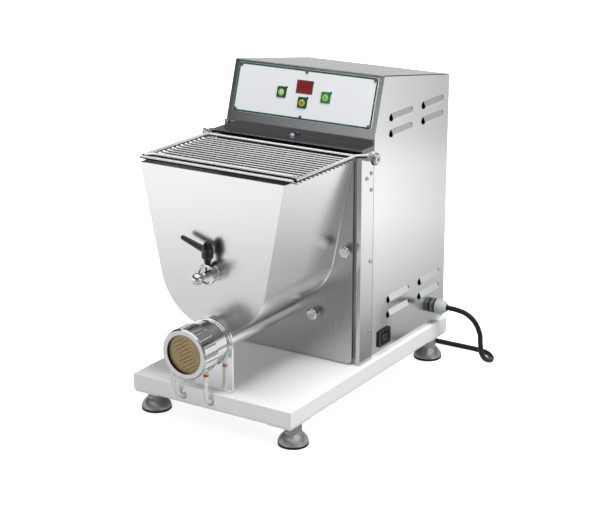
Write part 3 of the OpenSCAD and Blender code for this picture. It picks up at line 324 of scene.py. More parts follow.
def levels(tree, value, *points):
    """Grey level that follows (value, level) points in straight lines; the values lie from 0 to 2."""
    half = add_node(tree, "ShaderNodeMath", {0: value, 1: 0.5}, operation="MULTIPLY").outputs["Value"]
    made = add_node(tree, "ShaderNodeValToRGB", {"Fac": half})
    stops = made.color_ramp.elements
    while len(stops) < len(points):
        stops.new(0.5)
    for stop, (place, level) in zip(stops, points):
        stop.position = place / 2
        stop.color = (level, level, level, 1)
    return made.outputs["Color"]


def gloss(tree, shader, pattern, low, high):
    """Roughness that moves between two values over a pattern's middle range."""
    sockets = {"Value": pattern, "From Min": 0.3, "From Max": 0.7, "To Min": low, "To Max": high}
    rough = add_node(tree, "ShaderNodeMapRange", sockets)
    tree.links.new(rough.outputs["Result"], shader.inputs["Roughness"])


def worn(tree, shader, mask, rough):
    """Another roughness over the gloss set before, where a mask is 1."""
    before = shader.inputs["Roughness"].links[0].from_socket
    mix = add_node(tree, "ShaderNodeMix", {"Factor": mask, "A": before, "B": rough})
    tree.links.new(mix.outputs["Result"], shader.inputs["Roughness"])


def tint(tree, shader, pattern, *ends):
    """Base colour that moves with a pattern between two ends, each a hex value or a socket."""
    first, second = (srgb(end) if isinstance(end, str) else end for end in ends)
    mix = add_node(tree, "ShaderNodeMix", {"Factor": pattern, "A": first, "B": second}, data_type="RGBA")
    tree.links.new(mix.outputs["Result"], shader.inputs["Base Color"])
    return mix.outputs["Result"]


def relief(tree, shader, pattern, depth, edge=0.0):
    """Bump of a real depth in mm, with the edges of the sheet eased by a radius in mm."""
    bump = add_node(tree, "ShaderNodeBump", {"Height": pattern, "Strength": 1.0, "Distance": depth * MM})
    if edge:
        ease = add_node(tree, "ShaderNodeBevel", {"Radius": edge * MM}, samples=6)
        tree.links.new(ease.outputs["Normal"], bump.inputs["Normal"])
    tree.links.new(bump.outputs["Normal"], shader.inputs["Normal"])


def steel(name, colour, low, high, along, spacing, run, depth, edge=0.6):
    """Stainless sheet ground with a belt: the lines steer both the gloss and a shallow relief."""
    # the belt's own lines are finer than 0.1 mm, and are drawn coarser here so that they show
    made, tree, shader = new_material(name, colour, Metallic=1.0)
    lines = grain(tree, spacing, along, run, detail=3.0)
    gloss(tree, shader, lines, low, high)
    relief(tree, shader, lines, depth, edge)
    return made, tree, shader


def satin_sheet():
    """AISI 304 sheet, finely ground: soft, bright reflections, with painted shade that makes it darker on top
    and towards the rear.
    """
    made, tree, shader = steel("satin_stainless_sheet", "#E6E7E7", 0.15, 0.2, "Z", 0.9, 60, 0.0003)
    # painted shade: darker on top and towards the rear
    ends = {0: by_place(tree, "Y", 0.05, 0.26, 0.0, 0.65), 1: by_facing(tree, "Z", 0.7, 0.9)}
    shade = add_node(tree, "ShaderNodeMath", ends, operation="MAXIMUM").outputs["Value"]
    tint(tree, shader, shade, "#ECEDED", "#BCBDBD")
    return made


def frame_sheet():
    """AISI 304 sheet: satin upright strips, painted darker towards their foot as shade; the ledge is
    smoother, where fingers polish it, and darker with a painted reflection of the dark fascia behind it.
    """
    made, tree, shader = steel("satin_stainless_frame", "#E6E7E7", 0.15, 0.2, "Z", 0.9, 60, 0.0003)
    # the ledge's lower roughness is real; its dark colour is a painted reflection of the fascia behind it
    ledge = by_place(tree, "Z", at(0, 0, LEDGE_Z - 9.5).z, at(0, 0, LEDGE_Z - 8).z)
    worn(tree, shader, ledge, 0.07)
    # painted shade: the strips darken towards their foot
    foot = by_place(tree, "Z", at(0, 0, 0).z, at(0, 0, 120).z)
    tint(tree, shader, ledge, tint(tree, shader, foot, "#A4A5A6", "#E6E7E7"), "#77797B")
    return made


def plate_sheet():
    """AISI 304 plate behind the tub, slightly darker than the tub itself, with painted shade that darkens it
    towards its foot.
    """
    made, tree, shader = steel("rolled_stainless_plate", "#CFD0D1", 0.27, 0.31, "Z", 1.4, 40, 0.0003)
    # painted shade: darker towards its foot
    tint(tree, shader, by_place(tree, "Z", 0.22, 0.33), "#B6B7B8", "#C8C9CA")
    return made


def tub_sheet():
    """AISI 304 sheet with a bright rolled finish outside, painted whiter as light on the side that faces
    right; dough has dulled it inside, where painted shade darkens it.
    """
    made, tree, shader = steel("bright_rolled_stainless", "#EEEEEE", 0.23, 0.27, "Z", 1.4, 40, 0.0003)
    place = add_node(tree, "ShaderNodeTexCoord").outputs["Object"]
    faces = add_node(tree, "ShaderNodeNewGeometry").outputs["Normal"]
    away = add_node(tree, "ShaderNodeVectorMath", {0: place, 1: at(*TUB_MIDDLE)}, operation="SUBTRACT")
    outward = add_node(tree, "ShaderNodeVectorMath", {0: away.outputs[0], 1: faces}, operation="DOT_PRODUCT")
    ends = {"Value": outward.outputs["Value"], "From Min": 0.002, "From Max": -0.002}
    inside = add_node(tree, "ShaderNodeMapRange", ends).outputs["Result"]
    worn(tree, shader, inside, 0.34)
    # painted light: the outside is whiter on the side that faces right
    outer = tint(tree, shader, by_facing(tree, "X", 0.6, 0.8), "#ECECEC", "#FFFFFF")
    # painted shade: the inside is darker
    tint(tree, shader, inside, outer, "#8C8D8E")
    metal = add_node(tree, "ShaderNodeMapRange", {"Value": inside, "To Min": 1.0, "To Max": 0.6})
    tree.links.new(metal.outputs["Result"], shader.inputs["Metallic"])
    return made


def brushed_fascia():
    """Stainless sheet brushed along its length: streaks run across the machine, with painted light that makes
    it lighter towards its right.
    """
    made, tree, shader = steel("brushed_stainless_fascia", "#B4B6B7", 0.2, 0.32, "X", 0.7, 70, 0.003)
    # painted light and shade: dark grey at the left end, light grey at the right
    tint(tree, shader, by_place(tree, "X", -0.14, 0.14), "#787A7B", "#D6D7D8")
    return made


def mirror_steel():
    """Buffed stainless steel: near-mirror, so it shows the dark room and the white floor."""
    made, tree, shader = new_material("buffed_stainless", "#E6E7E8", Metallic=1.0)
    gloss(tree, shader, grain(tree, 6.0), 0.03, 0.07)
    return made


def round_axis(tree, centre, spacing):
    """Distance from an axis along Y and place along it, in units of spacing mm; and the distance in mm."""
    place = add_node(tree, "ShaderNodeTexCoord").outputs["Object"]
    foot = at(centre[0], MID_Y, centre[1])
    off = add_node(tree, "ShaderNodeVectorMath", {0: place, 1: foot}, operation="SUBTRACT")
    flat = add_node(tree, "ShaderNodeVectorMath", {0: off.outputs[0], 1: (1, 0, 1)}, operation="MULTIPLY")
    away = add_node(tree, "ShaderNodeVectorMath", {0: flat.outputs[0]}, operation="LENGTH").outputs["Value"]
    along = add_node(tree, "ShaderNodeSeparateXYZ", {"Vector": place}).outputs["Y"]
    pair = add_node(tree, "ShaderNodeCombineXYZ", {"X": away, "Y": along}).outputs[0]
    scaled = add_node(tree, "ShaderNodeVectorMath", {0: pair, "Scale": 1 / (spacing * MM)}, operation="SCALE")
    in_mm = add_node(tree, "ShaderNodeMath", {0: away, 1: 1 / MM}, operation="MULTIPLY").outputs["Value"]
    return scaled.outputs[0], in_mm


def turned_steel():
    """Stainless steel faced on a lathe: satin, with fine lines round the axis and a mouth painted dark as
    shade.
    """
    made, tree, shader = new_material("turned_stainless", "#E2E3E4", Metallic=1.0)
    place, radius = round_axis(tree, BARREL_AXIS, 0.5)
    lines = add_node(tree, "ShaderNodeTexNoise", {"Vector": place, "Scale": 1.0}).outputs["Fac"]
    faced = by_facing(tree, "Y", -0.95, -0.8, 1.0, 0.0)
    smooth, dull, metal = (
        add_node(tree, "ShaderNodeMix", {"Factor": faced, "A": side, "B": front}).outputs["Result"]
        for side, front in ((0.04, 0.3), (0.07, 0.42), (1.0, 0.5))
    )
    gloss(tree, shader, lines, smooth, dull)
    tree.links.new(metal, shader.inputs["Metallic"])
    # painted shade: the nut's mouth, within 31.1 mm of the axis, is near black
    mouth = add_node(tree, "ShaderNodeMapRange", {"Value": radius, "From Min": 31.1, "From Max": 31.7})
    tint(tree, shader, mouth.outputs["Result"], "#15130F", "#E6E7E8")
    relief(tree, shader, lines, 0.0006, edge=0.3)
    return made


def bracket_steel():
    """Polished stainless plate with a slight bloom: it shows the hoses only as faint grey lines."""
    made, tree, shader = new_material("polished_stainless_plate", "#F6F7F8", Metallic=1.0)
    haze = grain(tree, 6.0)
    gloss(tree, shader, haze, 0.12, 0.16)
    relief(tree, shader, haze, 0.0003, edge=0.6)
    return made


def machined_steel():
    """Milled stainless steel: satin with fine cutter lines."""
    return steel("machined_stainless", "#D2D4D5", 0.2, 0.3, "X", 0.8, 12, 0.003)[0]


def wire_steel():
    """Drawn stainless wire, drum polished: bright on top, and painted dark underneath as shade."""
    made, tree, shader = new_material("polished_stainless_wire", "#F6F6F6", Metallic=0.7)
    gloss(tree, shader, grain(tree, 2.0, "X", 12), 0.22, 0.3)
    # painted shade: faces that turn downwards are near black
    tint(tree, shader, by_facing(tree, "Z", -0.15, 0.2), "#0C0C0C", "#F6F6F6")
    return made


def powder_coat():
    """White epoxy-polyester powder coat: low gloss with a faint orange peel."""
    made, tree, shader = new_material("white_powder_coat", "#F4F4F4", Roughness=0.38, Coat_Weight=0.15)
    relief(tree, shader, grain(tree, 1.6), 0.012, edge=0.8)
    return made


def foot_chrome():
    """Dull chrome plate over pressed steel: soft light and dark bands."""
    made, tree, shader = new_material("chrome_plate", "#B4B5B6", Metallic=0.75)
    gloss(tree, shader, grain(tree, 5.0), 0.3, 0.33)
    return made


def rubber():
    """Moulded nitrile rubber: dull black that greys a little where it catches light."""
    made, tree, shader = new_material("black_nitrile_rubber", "#161616", Roughness=0.62)
    tint(tree, shader, grain(tree, 3.0, detail=4.0), "#121212", "#222222")
    relief(tree, shader, grain(tree, 0.6, detail=3.0), 0.02)
    return made


def cord_pvc():
    """Extruded PVC sheath: smooth black with a soft sheen along the cord."""
    made, tree, shader = new_material("black_pvc_sheath", "#121212", Roughness=0.34)
    relief(tree, shader, grain(tree, 2.5), 0.02)
    return made


def glossy_nylon():
    """Glass-filled nylon with a polished mould face: deep black with sharp highlights."""
    made, tree, shader = new_material("black_glass_filled_nylon", "#0D0D0D", Coat_Weight=0.3)
    skin = grain(tree, 1.2, detail=3.0)
    gloss(tree, shader, skin, 0.16, 0.28)
    relief(tree, shader, skin, 0.006, edge=0.4)
    return made


def polyamide():
    """Polyamide gland: a hexagon painted dark grey as shade between black rings, with a light grey, slightly
    waxy cap.
    """
    made, tree, shader = new_material("grey_polyamide", "#C6CCCD", Roughness=0.36, Subsurface_Scale=0.002)
    out = by_place(tree, "X", COLUMN_X * MM, (COLUMN_X + GLAND_CAP_X) * MM)
    bands = add_node(tree, "ShaderNodeValToRGB", {"Fac": out})
    ramp = bands.color_ramp
    ramp.interpolation = "CONSTANT"
    ramp.elements[0].color = srgb("#141414")
    ramp.elements[1].color = srgb("#AEB4B5")
    # painted shade: the hexagon, 1.6 to 7.8 mm out of the column, is painted dark grey
    for start, colour in ((0.154, "#66696A"), (0.75, "#1A1A1A")):
        ramp.elements.new(start).color = srgb(colour)
    tree.links.new(bands.outputs["Color"], shader.inputs["Base Color"])
    relief(tree, shader, grain(tree, 1.0, detail=3.0), 0.01, edge=0.4)
    return made


def hose_pvc():
    """Clear flexible PVC with scale inside: milky, with light passing through."""
    made, tree, shader = new_material(
        "milky_flexible_pvc", "#E4E3DA", Roughness=0.22, Subsurface_Weight=0.2, Subsurface_Scale=0.003,
        Subsurface_Radius=(1, 1, 1),
    )
    tint(tree, shader, grain(tree, 7.0), "#DAD9CE", "#EFEEE8")
    return made


def label_film():
    """Matt polyester film printed on its back: even pale blue-grey with a faint texture."""
    made, tree, shader = new_material("matt_polyester_film", "#EEF0F4", Roughness=0.42)
    relief(tree, shader, grain(tree, 0.8), 0.004)
    return made


def print_ink(name, colour, rough=0.4):
    """Screen-print ink on film: flat, opaque colour with slightly uneven gloss."""
    made, tree, shader = new_material(name, colour)
    gloss(tree, shader, grain(tree, 0.9), rough - 0.05, rough + 0.05)
    return made


def display_film():
    """Red acrylic filter: dark red with a glossy face."""
    made, tree, shader = new_material("red_acrylic_filter", "#8E1B1E", Roughness=0.12, Coat_Weight=0.5)
    tint(tree, shader, grain(tree, 9.0, detail=1.0), "#7C1518", "#9C2224")
    return made


def die_bronze():
    """Cast aluminium bronze, faced and worn: brown with pale scratches across its slots."""
    made, tree, shader = new_material("aluminium_bronze", "#9A8358", Metallic=0.75)
    scratch = grain(tree, 0.7, "X", 9, detail=4.0, rough=0.65)
    pale = add_node(tree, "ShaderNodeMapRange", {"Value": scratch, "From Min": 0.3, "From Max": 0.7})
    tint(tree, shader, pale.outputs["Result"], "#8E7A58", "#C2AC84")
    gloss(tree, shader, scratch, 0.34, 0.5)
    relief(tree, shader, scratch, 0.03)
    return made


def dark_steel():
    """Ground tool steel with a film of grease: darker metal with fine lines."""
    return steel("ground_tool_steel", "#8E9092", 0.28, 0.4, "Y", 0.8, 14, 0.004, edge=0.4)[0]


def cast_grey():
    """Grey paint on an aluminium casting: coarse skin under a satin paint."""
    made, tree, shader = new_material("painted_aluminium_casting", "#6B7074", Roughness=0.45)
    relief(tree, shader, grain(tree, 1.4, detail=4.0), 0.05, edge=0.5)
    return made


def motor_paint():
    """Blue-grey enamel on a finned motor shell: satin with slight pooling."""
    made, tree, shader = new_material("blue_grey_enamel", "#3B4853", Roughness=0.4, Coat_Weight=0.1)
    relief(tree, shader, grain(tree, 4.0), 0.03, edge=0.4)
    return made


def board_resin():
    """Green solder mask on glass epoxy: glossy with a faint weave."""
    made, tree, shader = new_material("green_solder_mask", "#1F5A3A", Roughness=0.3)
    tint(tree, shader, grain(tree, 0.8, detail=1.0), "#1B5034", "#256643")
    return made


def screw_metal(name, colour):
    """Nickel-plated screw: satin metal that dulls in its recess."""
    made, tree, shader = new_material(name, colour, Metallic=1.0)
    gloss(tree, shader, grain(tree, 0.8), 0.22, 0.34)
    return made


FINISHES = {}


def make_finishes():
    """Every material once, by the short name that the pieces use."""
    FINISHES.update(
        sheet=satin_sheet(),
        frame=frame_sheet(),
        plate=plate_sheet(),
        tub=tub_sheet(),
        fascia=brushed_fascia(),
        mirror=mirror_steel(),
        turned=turned_steel(),
        machined=machined_steel(),
        bracket=bracket_steel(),
        wire=wire_steel(),
        powder=powder_coat(),
        chrome=foot_chrome(),
        rubber=rubber(),
        cord=cord_pvc(),
        nylon=glossy_nylon(),
        polyamide=polyamide(),
        hose=hose_pvc(),
        label=label_film(),
        border=print_ink("green_print_ink", "#14523A"),
        key_dark=print_ink("dark_green_key_film", "#0F4A30"),
        key_light=print_ink("green_key_film", "#1E7A46"),
        lime=print_ink("lime_print_ink", "#9CCB3C"),
        orange=print_ink("orange_print_ink", "#F0522A"),
        lilac=print_ink("pale_lilac_print_ink", "#CFC8DA"),
        stone=print_ink("grey_print_ink", "#8F9C7C"),
        black_ink=print_ink("black_print_ink", "#101312"),
        display=display_film(),
        digit=print_ink("dark_red_segment", "#5E0F12", 0.2),
        bronze=die_bronze(),
        dark=dark_steel(),
        cast=cast_grey(),
        motor=motor_paint(),
        board=board_resin(),
        screw=screw_metal("nickel_plated_steel", "#DCDCDC"),
        label_screw=screw_metal("dulled_nickel_steel", "#98938C"),
        red=print_ink("red_heat_shrink", "#D3301F", 0.3),
    )


NODE_FINISHES = {
    "powder": ["base_tray"],
    "sheet": ["outer_cover", "rear_panel"],
    "frame": ["front_frame"],
    "plate": ["back_plate"],
    "fascia": ["fascia_panel"],
    "tub": ["barrel_tube"],
    "bracket": ["barrel_support"],
    "mirror": ["cooling_jacket", "pin_boss", "pin_knob", "hose_fittings"]
    + [f"hand_screw_{i}" for i in (1, 2, 3, 4)],
    "turned": ["ring_nut"],
    "machined": ["auger", "mixer_paddle", "pivot_screws", "hinge_bosses", "ledge_nut"],
    "chrome": ["foot_bells"],
    "rubber": ["foot_pads", "shaft_seals"],
    "nylon": ["clamp_lever", "accessory_socket", "plug_body", "lid_switch"],
    "polyamide": ["cable_gland"],
    "label": ["control_label"],
    "label_screw": ["label_screws"],
    "display": ["display_window"],
    "key_dark": ["button_left", "button_stop"],
    "key_light": ["button_right"],
    "board": ["control_board"],
    "screw": ["flange_screws", "rear_screws", "plug_pins", "run_capacitor"],
    "bronze": ["die"],
    "dark": ["mixer_shaft", "auger_shaft", "mixer_gear", "auger_gear", "drive_pinion"],
    "cast": ["mixer_bearing", "auger_bearing", "gear_reducer"],
    "motor": ["motor"],
    "red": ["hose_band"],
}

# ---------------------------------------------------------------- settings


def size(name, text, default, least=0.0):
    """Length setting in metres."""
    return FloatProperty(name=name, description=text, unit="LENGTH", default=default, min=least)


class PastaStudioSettings(bpy.types.PropertyGroup):
    """Camera and studio."""

    camera_place: FloatVectorProperty(
        name="Camera place", description="Where the camera stands", subtype="TRANSLATION", unit="LENGTH",
        default=(1.3589, -2.0963, 1.0301),
    )
    azimuth: FloatProperty(
        name="Azimuth", description="Turn of the camera round the machine", unit="ROTATION",
        default=math.radians(32.49),
    )
    elevation: FloatProperty(
        name="Elevation", description="Height of the camera above the horizon", unit="ROTATION",
        default=math.radians(17.67),
    )
    lens: FloatProperty(
        name="Lens", description="Focal length in mm on a 36 mm sensor", default=96.04, min=20
    )
    floor_size: size("Floor", "Side of the pale floor", 20.0, 2.0)


class PastaCordSettings(bpy.types.PropertyGroup):
    """Supply cord and water hoses."""

    cord_d: size("Cord", "Diameter of the supply cord", 0.009)
    hose_d: size("Hose", "Diameter of a water hose", 0.0065)
    coil_turns: FloatProperty(
        name="Turns", description="Turns of the stored coil", default=3.5, min=2.5, max=6.5
    )


class PastaLidSettings(bpy.types.PropertyGroup):
    """Wire lid."""

    wire_d: size("Wire", "Diameter of a cross wire", 0.0032)
    wire_length: size("Wire length", "Length of a cross wire", 0.286)


class PastaPanelSettings(bpy.types.PropertyGroup):
    """Printed control label."""

    border_inset: size("Border inset", "Gap between the label's edge and its printed line", 0.0003)
    border_line: size("Border line", "Width of the printed line", 0.003)
    mark_d: size("Mark", "Diameter of a key's round mark", 0.0112)
    digits: IntProperty(
        name="Digits", description="Digits behind the display's filter", default=3, min=1, max=4
    )


SETTINGS = {
    "pasta_studio": PastaStudioSettings,
    "pasta_cord": PastaCordSettings,
    "pasta_lid": PastaLidSettings,
    "pasta_panel": PastaPanelSettings,
}

# ---------------------------------------------------------------- camera and cords


class PASTA_OT_camera(bpy.types.Operator):
    """Set the camera at the machine's front right"""

    bl_idname = "pasta.camera"
    bl_label = "Camera"

    def execute(self, context):
        studio = context.scene.pasta_studio
        deselect()
        turn = (math.pi / 2 - studio.elevation, 0, studio.azimuth)
        bpy.ops.object.camera_add(location=studio.camera_place, rotation=turn)
        camera = context.object
        camera.data.sensor_width = 36
        camera.data.lens = studio.lens
        context.scene.camera = camera
        return {"FINISHED"}


FLOOR_Z = 4.5 - FOOT_H  # middle of a cord that lies on the bench, mm
COIL_AT = (-85.0, 600.0)  # x and y of the coil's middle, mm
COIL_OUTER, COIL_INNER = 58.5, 49.5  # radii of the two rings of turns, mm
CORD_ROUTE = [
    (163.8, 465, 63.7), (188, 465, 63.7), (209, 465, 59.7), (226, 465, 47.7), (236, 465, 29), (238, 465, 10),
    (238, 471, -9), (238, 486, -24), (238, 508, FLOOR_Z), (232, 522.5, FLOOR_Z), (215, 536.5, FLOOR_Z),
    (192, 541.5, FLOOR_Z), (150, 541.5, FLOOR_Z), (100, 541.5, FLOOR_Z), (50, 541.5, FLOOR_Z),
    (0, 541.5, FLOOR_Z), (-45, 541.5, FLOOR_Z), (-85, 541.5, FLOOR_Z),
]
TAIL_ROUTE = [
    (-85, 658.5, FLOOR_Z + 9), (-62, 658, FLOOR_Z + 9), (-42, 660, FLOOR_Z + 6), (-24, 660, -28.1),
    (-10, 660, -28.1),
]
RIGHT_HOSE = [
    (3.2, -13.5, 69.07), (2.8, -13.5, 49.5), (2.2, -13.5, 33.5), (1.6, -10.1, 21.4), (1.2, -4.9, 16.6),
    (1.2, 2, 16),
]
LEFT_HOSE = [
    (-48, -11.5, 95.07), (-57, -12.5, 87.07), (-61.5, -13.5, 74.07), (-62, -13.5, 59.5), (-59, -13.5, 39.5),
    (-54.4, -10.5, 22), (-52, -4.9, 16.6), (-52, 2, 16),
]


def coil_line(turns, per_turn=28):
    """Two rings of turns below and two above, from the coil's front round clockwise to its rear."""
    line = []
    for i in range(1, int(turns * per_turn)):
        t = i / per_turn
        inward = smoothstep(t, 0.70, 0.92) - smoothstep(t, 2.45, 2.70)
        radius = COIL_OUTER - (COIL_OUTER - COIL_INNER) * inward
        height = FLOOR_Z + 9 * smoothstep(t, 1.55, 1.80)
        angle = -math.pi / 2 - 2 * math.pi * t
        x = COIL_AT[0] + radius * math.cos(angle)
        y = COIL_AT[1] + radius * math.sin(angle)
        line.append(Vector((x, y, height)))
    return line


def tube(name, line, diameter, finish):
    """Round cord on one open spline through a line of points in mm."""
    curve = bpy.data.curves.new(name, "CURVE")
    curve.dimensions = "3D"
    curve.bevel_depth = diameter / 2
    curve.bevel_resolution = 5
    curve.use_fill_caps = True
    spline = curve.splines.new("POLY")
    spline.points.add(len(line) - 1)
    for point, place in zip(spline.points, line):
        point.co = (*at(*place), 1)
    spline.use_smooth = True
    obj = bpy.data.objects.new(name, curve)
    bpy.context.collection.objects.link(obj)
    curve.materials.append(finish)
    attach(obj, "machine")
    return obj


class PASTA_OT_supply_cord(bpy.types.Operator):
    """Lay the supply cord from the gland to its coil and plug"""

    bl_idname = "pasta.supply_cord"
    bl_label = "Supply cord"

    def execute(self, context):
        cords = context.scene.pasta_cord
        line = catmull_rom(CORD_ROUTE, 6) + coil_line(cords.coil_turns) + catmull_rom(TAIL_ROUTE, 5)
        cord = tube("supply_cord_run", line, cords.cord_d, FINISHES["cord"])
        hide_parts("supply_cord", "cord_coil")
        return {"FINISHED"}


class PASTA_OT_water_hoses(bpy.types.Operator):
    """Run the two cooling hoses from the jacket into the base"""

    bl_idname = "pasta.water_hoses"
    bl_label = "Water hoses"

    def execute(self, context):
        cords = context.scene.pasta_cord
        for name, route in (("water_hose_right", RIGHT_HOSE), ("water_hose_left", LEFT_HOSE)):
            line = catmull_rom(route, 8)
            hose = tube(name, line, cords.hose_d, FINISHES["hose"])
            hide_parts("water_hoses")
        return {"FINISHED"}


# ---------------------------------------------------------------- control panel

LABEL_SIZE = (265.0, 82.0, 4.0)  # width, height and corner radius of the label, mm
BEZEL = (31.4, 22.0, 0.8, 1.5, 0.3)  # the display frame's width, height, corner, line and thickness, mm
INK = 0.06  # thickness of the printed line, mm
LED_STEP = 8.3  # an indicator's place right of and above its button's middle, mm
MARK_STEP = 0.6  # a key mark's place left of and below its button's middle, mm
DIGIT_PITCH = 8.6  # spacing of the display's digits, mm
# middles of a digit's seven bars, mm, and whether each stands upright
SEGMENTS = [(0, v, False) for v in (5.4, 0, -5.4)] + [(x, v, True) for v in (2.7, -2.7) for x in (-2.7, 2.7)]


class PASTA_OT_label_print(bpy.types.Operator):
    """Print the label's green line and fit the display's frame and the indicators' domes"""

    bl_idname = "pasta.label_print"
    bl_label = "Label print"

    def execute(self, context):
        panel = context.scene.pasta_panel
        inset = panel.border_inset / MM
        width, height, corner = LABEL_SIZE
        line = rim(width - 2 * inset, height - 2 * inset, corner - inset, panel.border_line / MM, INK)
        place = on_fascia(0, LABEL_V, LABEL_TOP)
        settle(line, "label_border", "machine", FINISHES["border"], place)
        place = on_fascia(0, DISPLAY_V, LABEL_TOP)
        settle(rim(*BEZEL), "display_frame", "machine", FINISHES["key_dark"], place)
        dome = turned([(1.9, -0.1), (1.9, 0.3), (1.5, 0.7), (0.7, 0.95)], 24)
        domes = copies(dome, [on_fascia(x + LED_STEP, v + LED_STEP, LABEL_TOP) for x, v in BUTTONS.values()])
        settle(domes, "indicator_domes", "machine", FINISHES["nylon"])
        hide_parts("indicator_leds")
        return {"FINISHED"}


class PASTA_OT_key_marks(bpy.types.Operator):
    """Print the round marks on the three keys"""

    bl_idname = "pasta.key_marks"
    bl_label = "Key marks"

    def execute(self, context):
        radius = context.scene.pasta_panel.mark_d / MM / 2
        centres = {"button_left": "lilac", "button_stop": "orange", "button_right": "stone"}
        for node, colour in centres.items():
            x, v = BUTTONS[node]
            place = on_fascia(x - MARK_STEP, v - MARK_STEP, BUTTON_TOP - 0.02)
            disc = turned([(radius, 0), (radius, 0.1), (radius - 0.1, 0.14)], 40)
            settle(disc, f"{node}_mark", node, FINISHES["lime"], place)
            core = turned([(radius * 0.52, 0), (radius * 0.52, 0.16), (radius * 0.5, 0.2)], 32)
            if node == "button_stop":
                pick(core)
                edit()
                bpy.ops.transform.resize(value=(1.55, 1.3, 1))
                bpy.ops.mesh.bisect(plane_co=(0, 0, 0), plane_no=(0, 1, 0), clear_outer=True, use_fill=True)
                bpy.ops.object.mode_set(mode="OBJECT")
                dash = place @ Matrix.Translation((0, 1.2 * MM, 0))
                bar = plate(5.4, 1.7, 0.4, 0.2)
                settle(bar, f"{node}_dash", node, FINISHES["black_ink"], dash)
            settle(core, f"{node}_centre", node, FINISHES[colour], place)
        return {"FINISHED"}


class PASTA_OT_display_digits(bpy.types.Operator):
    """Put unlit digits behind the display's filter"""

    bl_idname = "pasta.display_digits"
    bl_label = "Display digits"

    def execute(self, context):
        count = context.scene.pasta_panel.digits
        places = []
        for i in range(count):
            middle = (i - (count - 1) / 2) * DIGIT_PITCH
            for x, v, upright in SEGMENTS:
                turn = Matrix.Rotation(math.pi / 2 if upright else 0, 4, "Z")
                places.append(Matrix.Translation(Vector((middle + x, v, 0)) * MM) @ turn)
        bars = copies(plate(4.6, 1.0, 0.45, 0.05), places)
        place = on_fascia(0, DISPLAY_V, DISPLAY_TOP)
        settle(bars, "display_segments", "machine", FINISHES["digit"], place)
        return {"FINISHED"}


# ---------------------------------------------------------------- tub and lid

LEFT_STRETCH = 1.05  # share by which the tub's left half is wider than its right
BEAD = 1.5  # weld bead round the tub's rear edge, mm
TUB_HALF = 130.0  # half the tub's width at its middle, mm


class PASTA_OT_tub(bpy.types.Operator):
    """Model the tub again, a little wider on its left, with the weld bead round its rear edge"""

    bl_idname = "pasta.tub"
    bl_label = "Tub"

    def execute(self, context):
        tub = shell("tub_shell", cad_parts["hopper"].data)
        edit("VERT")
        bpy.ops.mesh.remove_doubles(threshold=1e-6)
        bpy.ops.mesh.customdata_custom_splitnormals_clear()
        bpy.ops.mesh.select_all(action="DESELECT")
        bpy.ops.object.mode_set(mode="OBJECT")
        for vertex in tub.data.vertices:
            vertex.select = vertex.co.x < -MM
        bpy.ops.object.mode_set(mode="EDIT")
        bpy.ops.transform.resize(value=(LEFT_STRETCH, 1, 1), center_override=(0, 0, 0))
        bpy.ops.object.mode_set(mode="OBJECT")
        settle(tub, "tub_shell", "machine", FINISHES["tub"], angle=20)
        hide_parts("hopper")
        bead = shell("tub_weld_bead", tub.data)
        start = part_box("hopper")[1][1] - BEAD * MM
        edit("VERT")
        bpy.ops.mesh.bisect(plane_co=(0, start, 0), plane_no=(0, -1, 0), clear_outer=True, use_fill=True)
        bpy.ops.mesh.select_all(action="SELECT")
        grow = 1 + BEAD / TUB_HALF
        bpy.ops.transform.resize(value=(grow, 1, grow), center_override=at(*TUB_MIDDLE))
        bpy.ops.object.mode_set(mode="OBJECT")
        settle(bead, "tub_weld_bead", "machine", FINISHES["mirror"], angle=20)
        return {"FINISHED"}


WIRE_FIRST, WIRE_PITCH, WIRE_COUNT = 31.0, 11.6, 15  # place of the first cross wire, spacing in mm, how many
WIRE_Z = 380.9  # middle of the cross wires, mm
LID_X, LID_FRONT, LID_REAR, LID_Z = 140.0, 14.0, 200.0, 385.5  # middles of the lid's side and end rods, mm
LID_BEND = 15.0  # radius of the lid's front corners, mm
RIM_R, BRACE_R = 3.0, 2.6  # radii of the lid's rim and of its two cross rods, mm
BRACE_IN = 7.8  # front cross rod behind the rim's front, mm
EAR_X, EAR_T = 156.0, 3.0  # inner face and thickness of a hinge ear, mm
EAR_R, HOLE_R, ARM_W = 10.5, 3.3, 9.2  # radius of an ear and of its hole, and width of its arm, mm
EAR_STEP = 14.0  # stretch over which the rim's ends spread out to the ears, mm
PIVOT = (232.0, 377.0)  # y and z of the hinge, mm


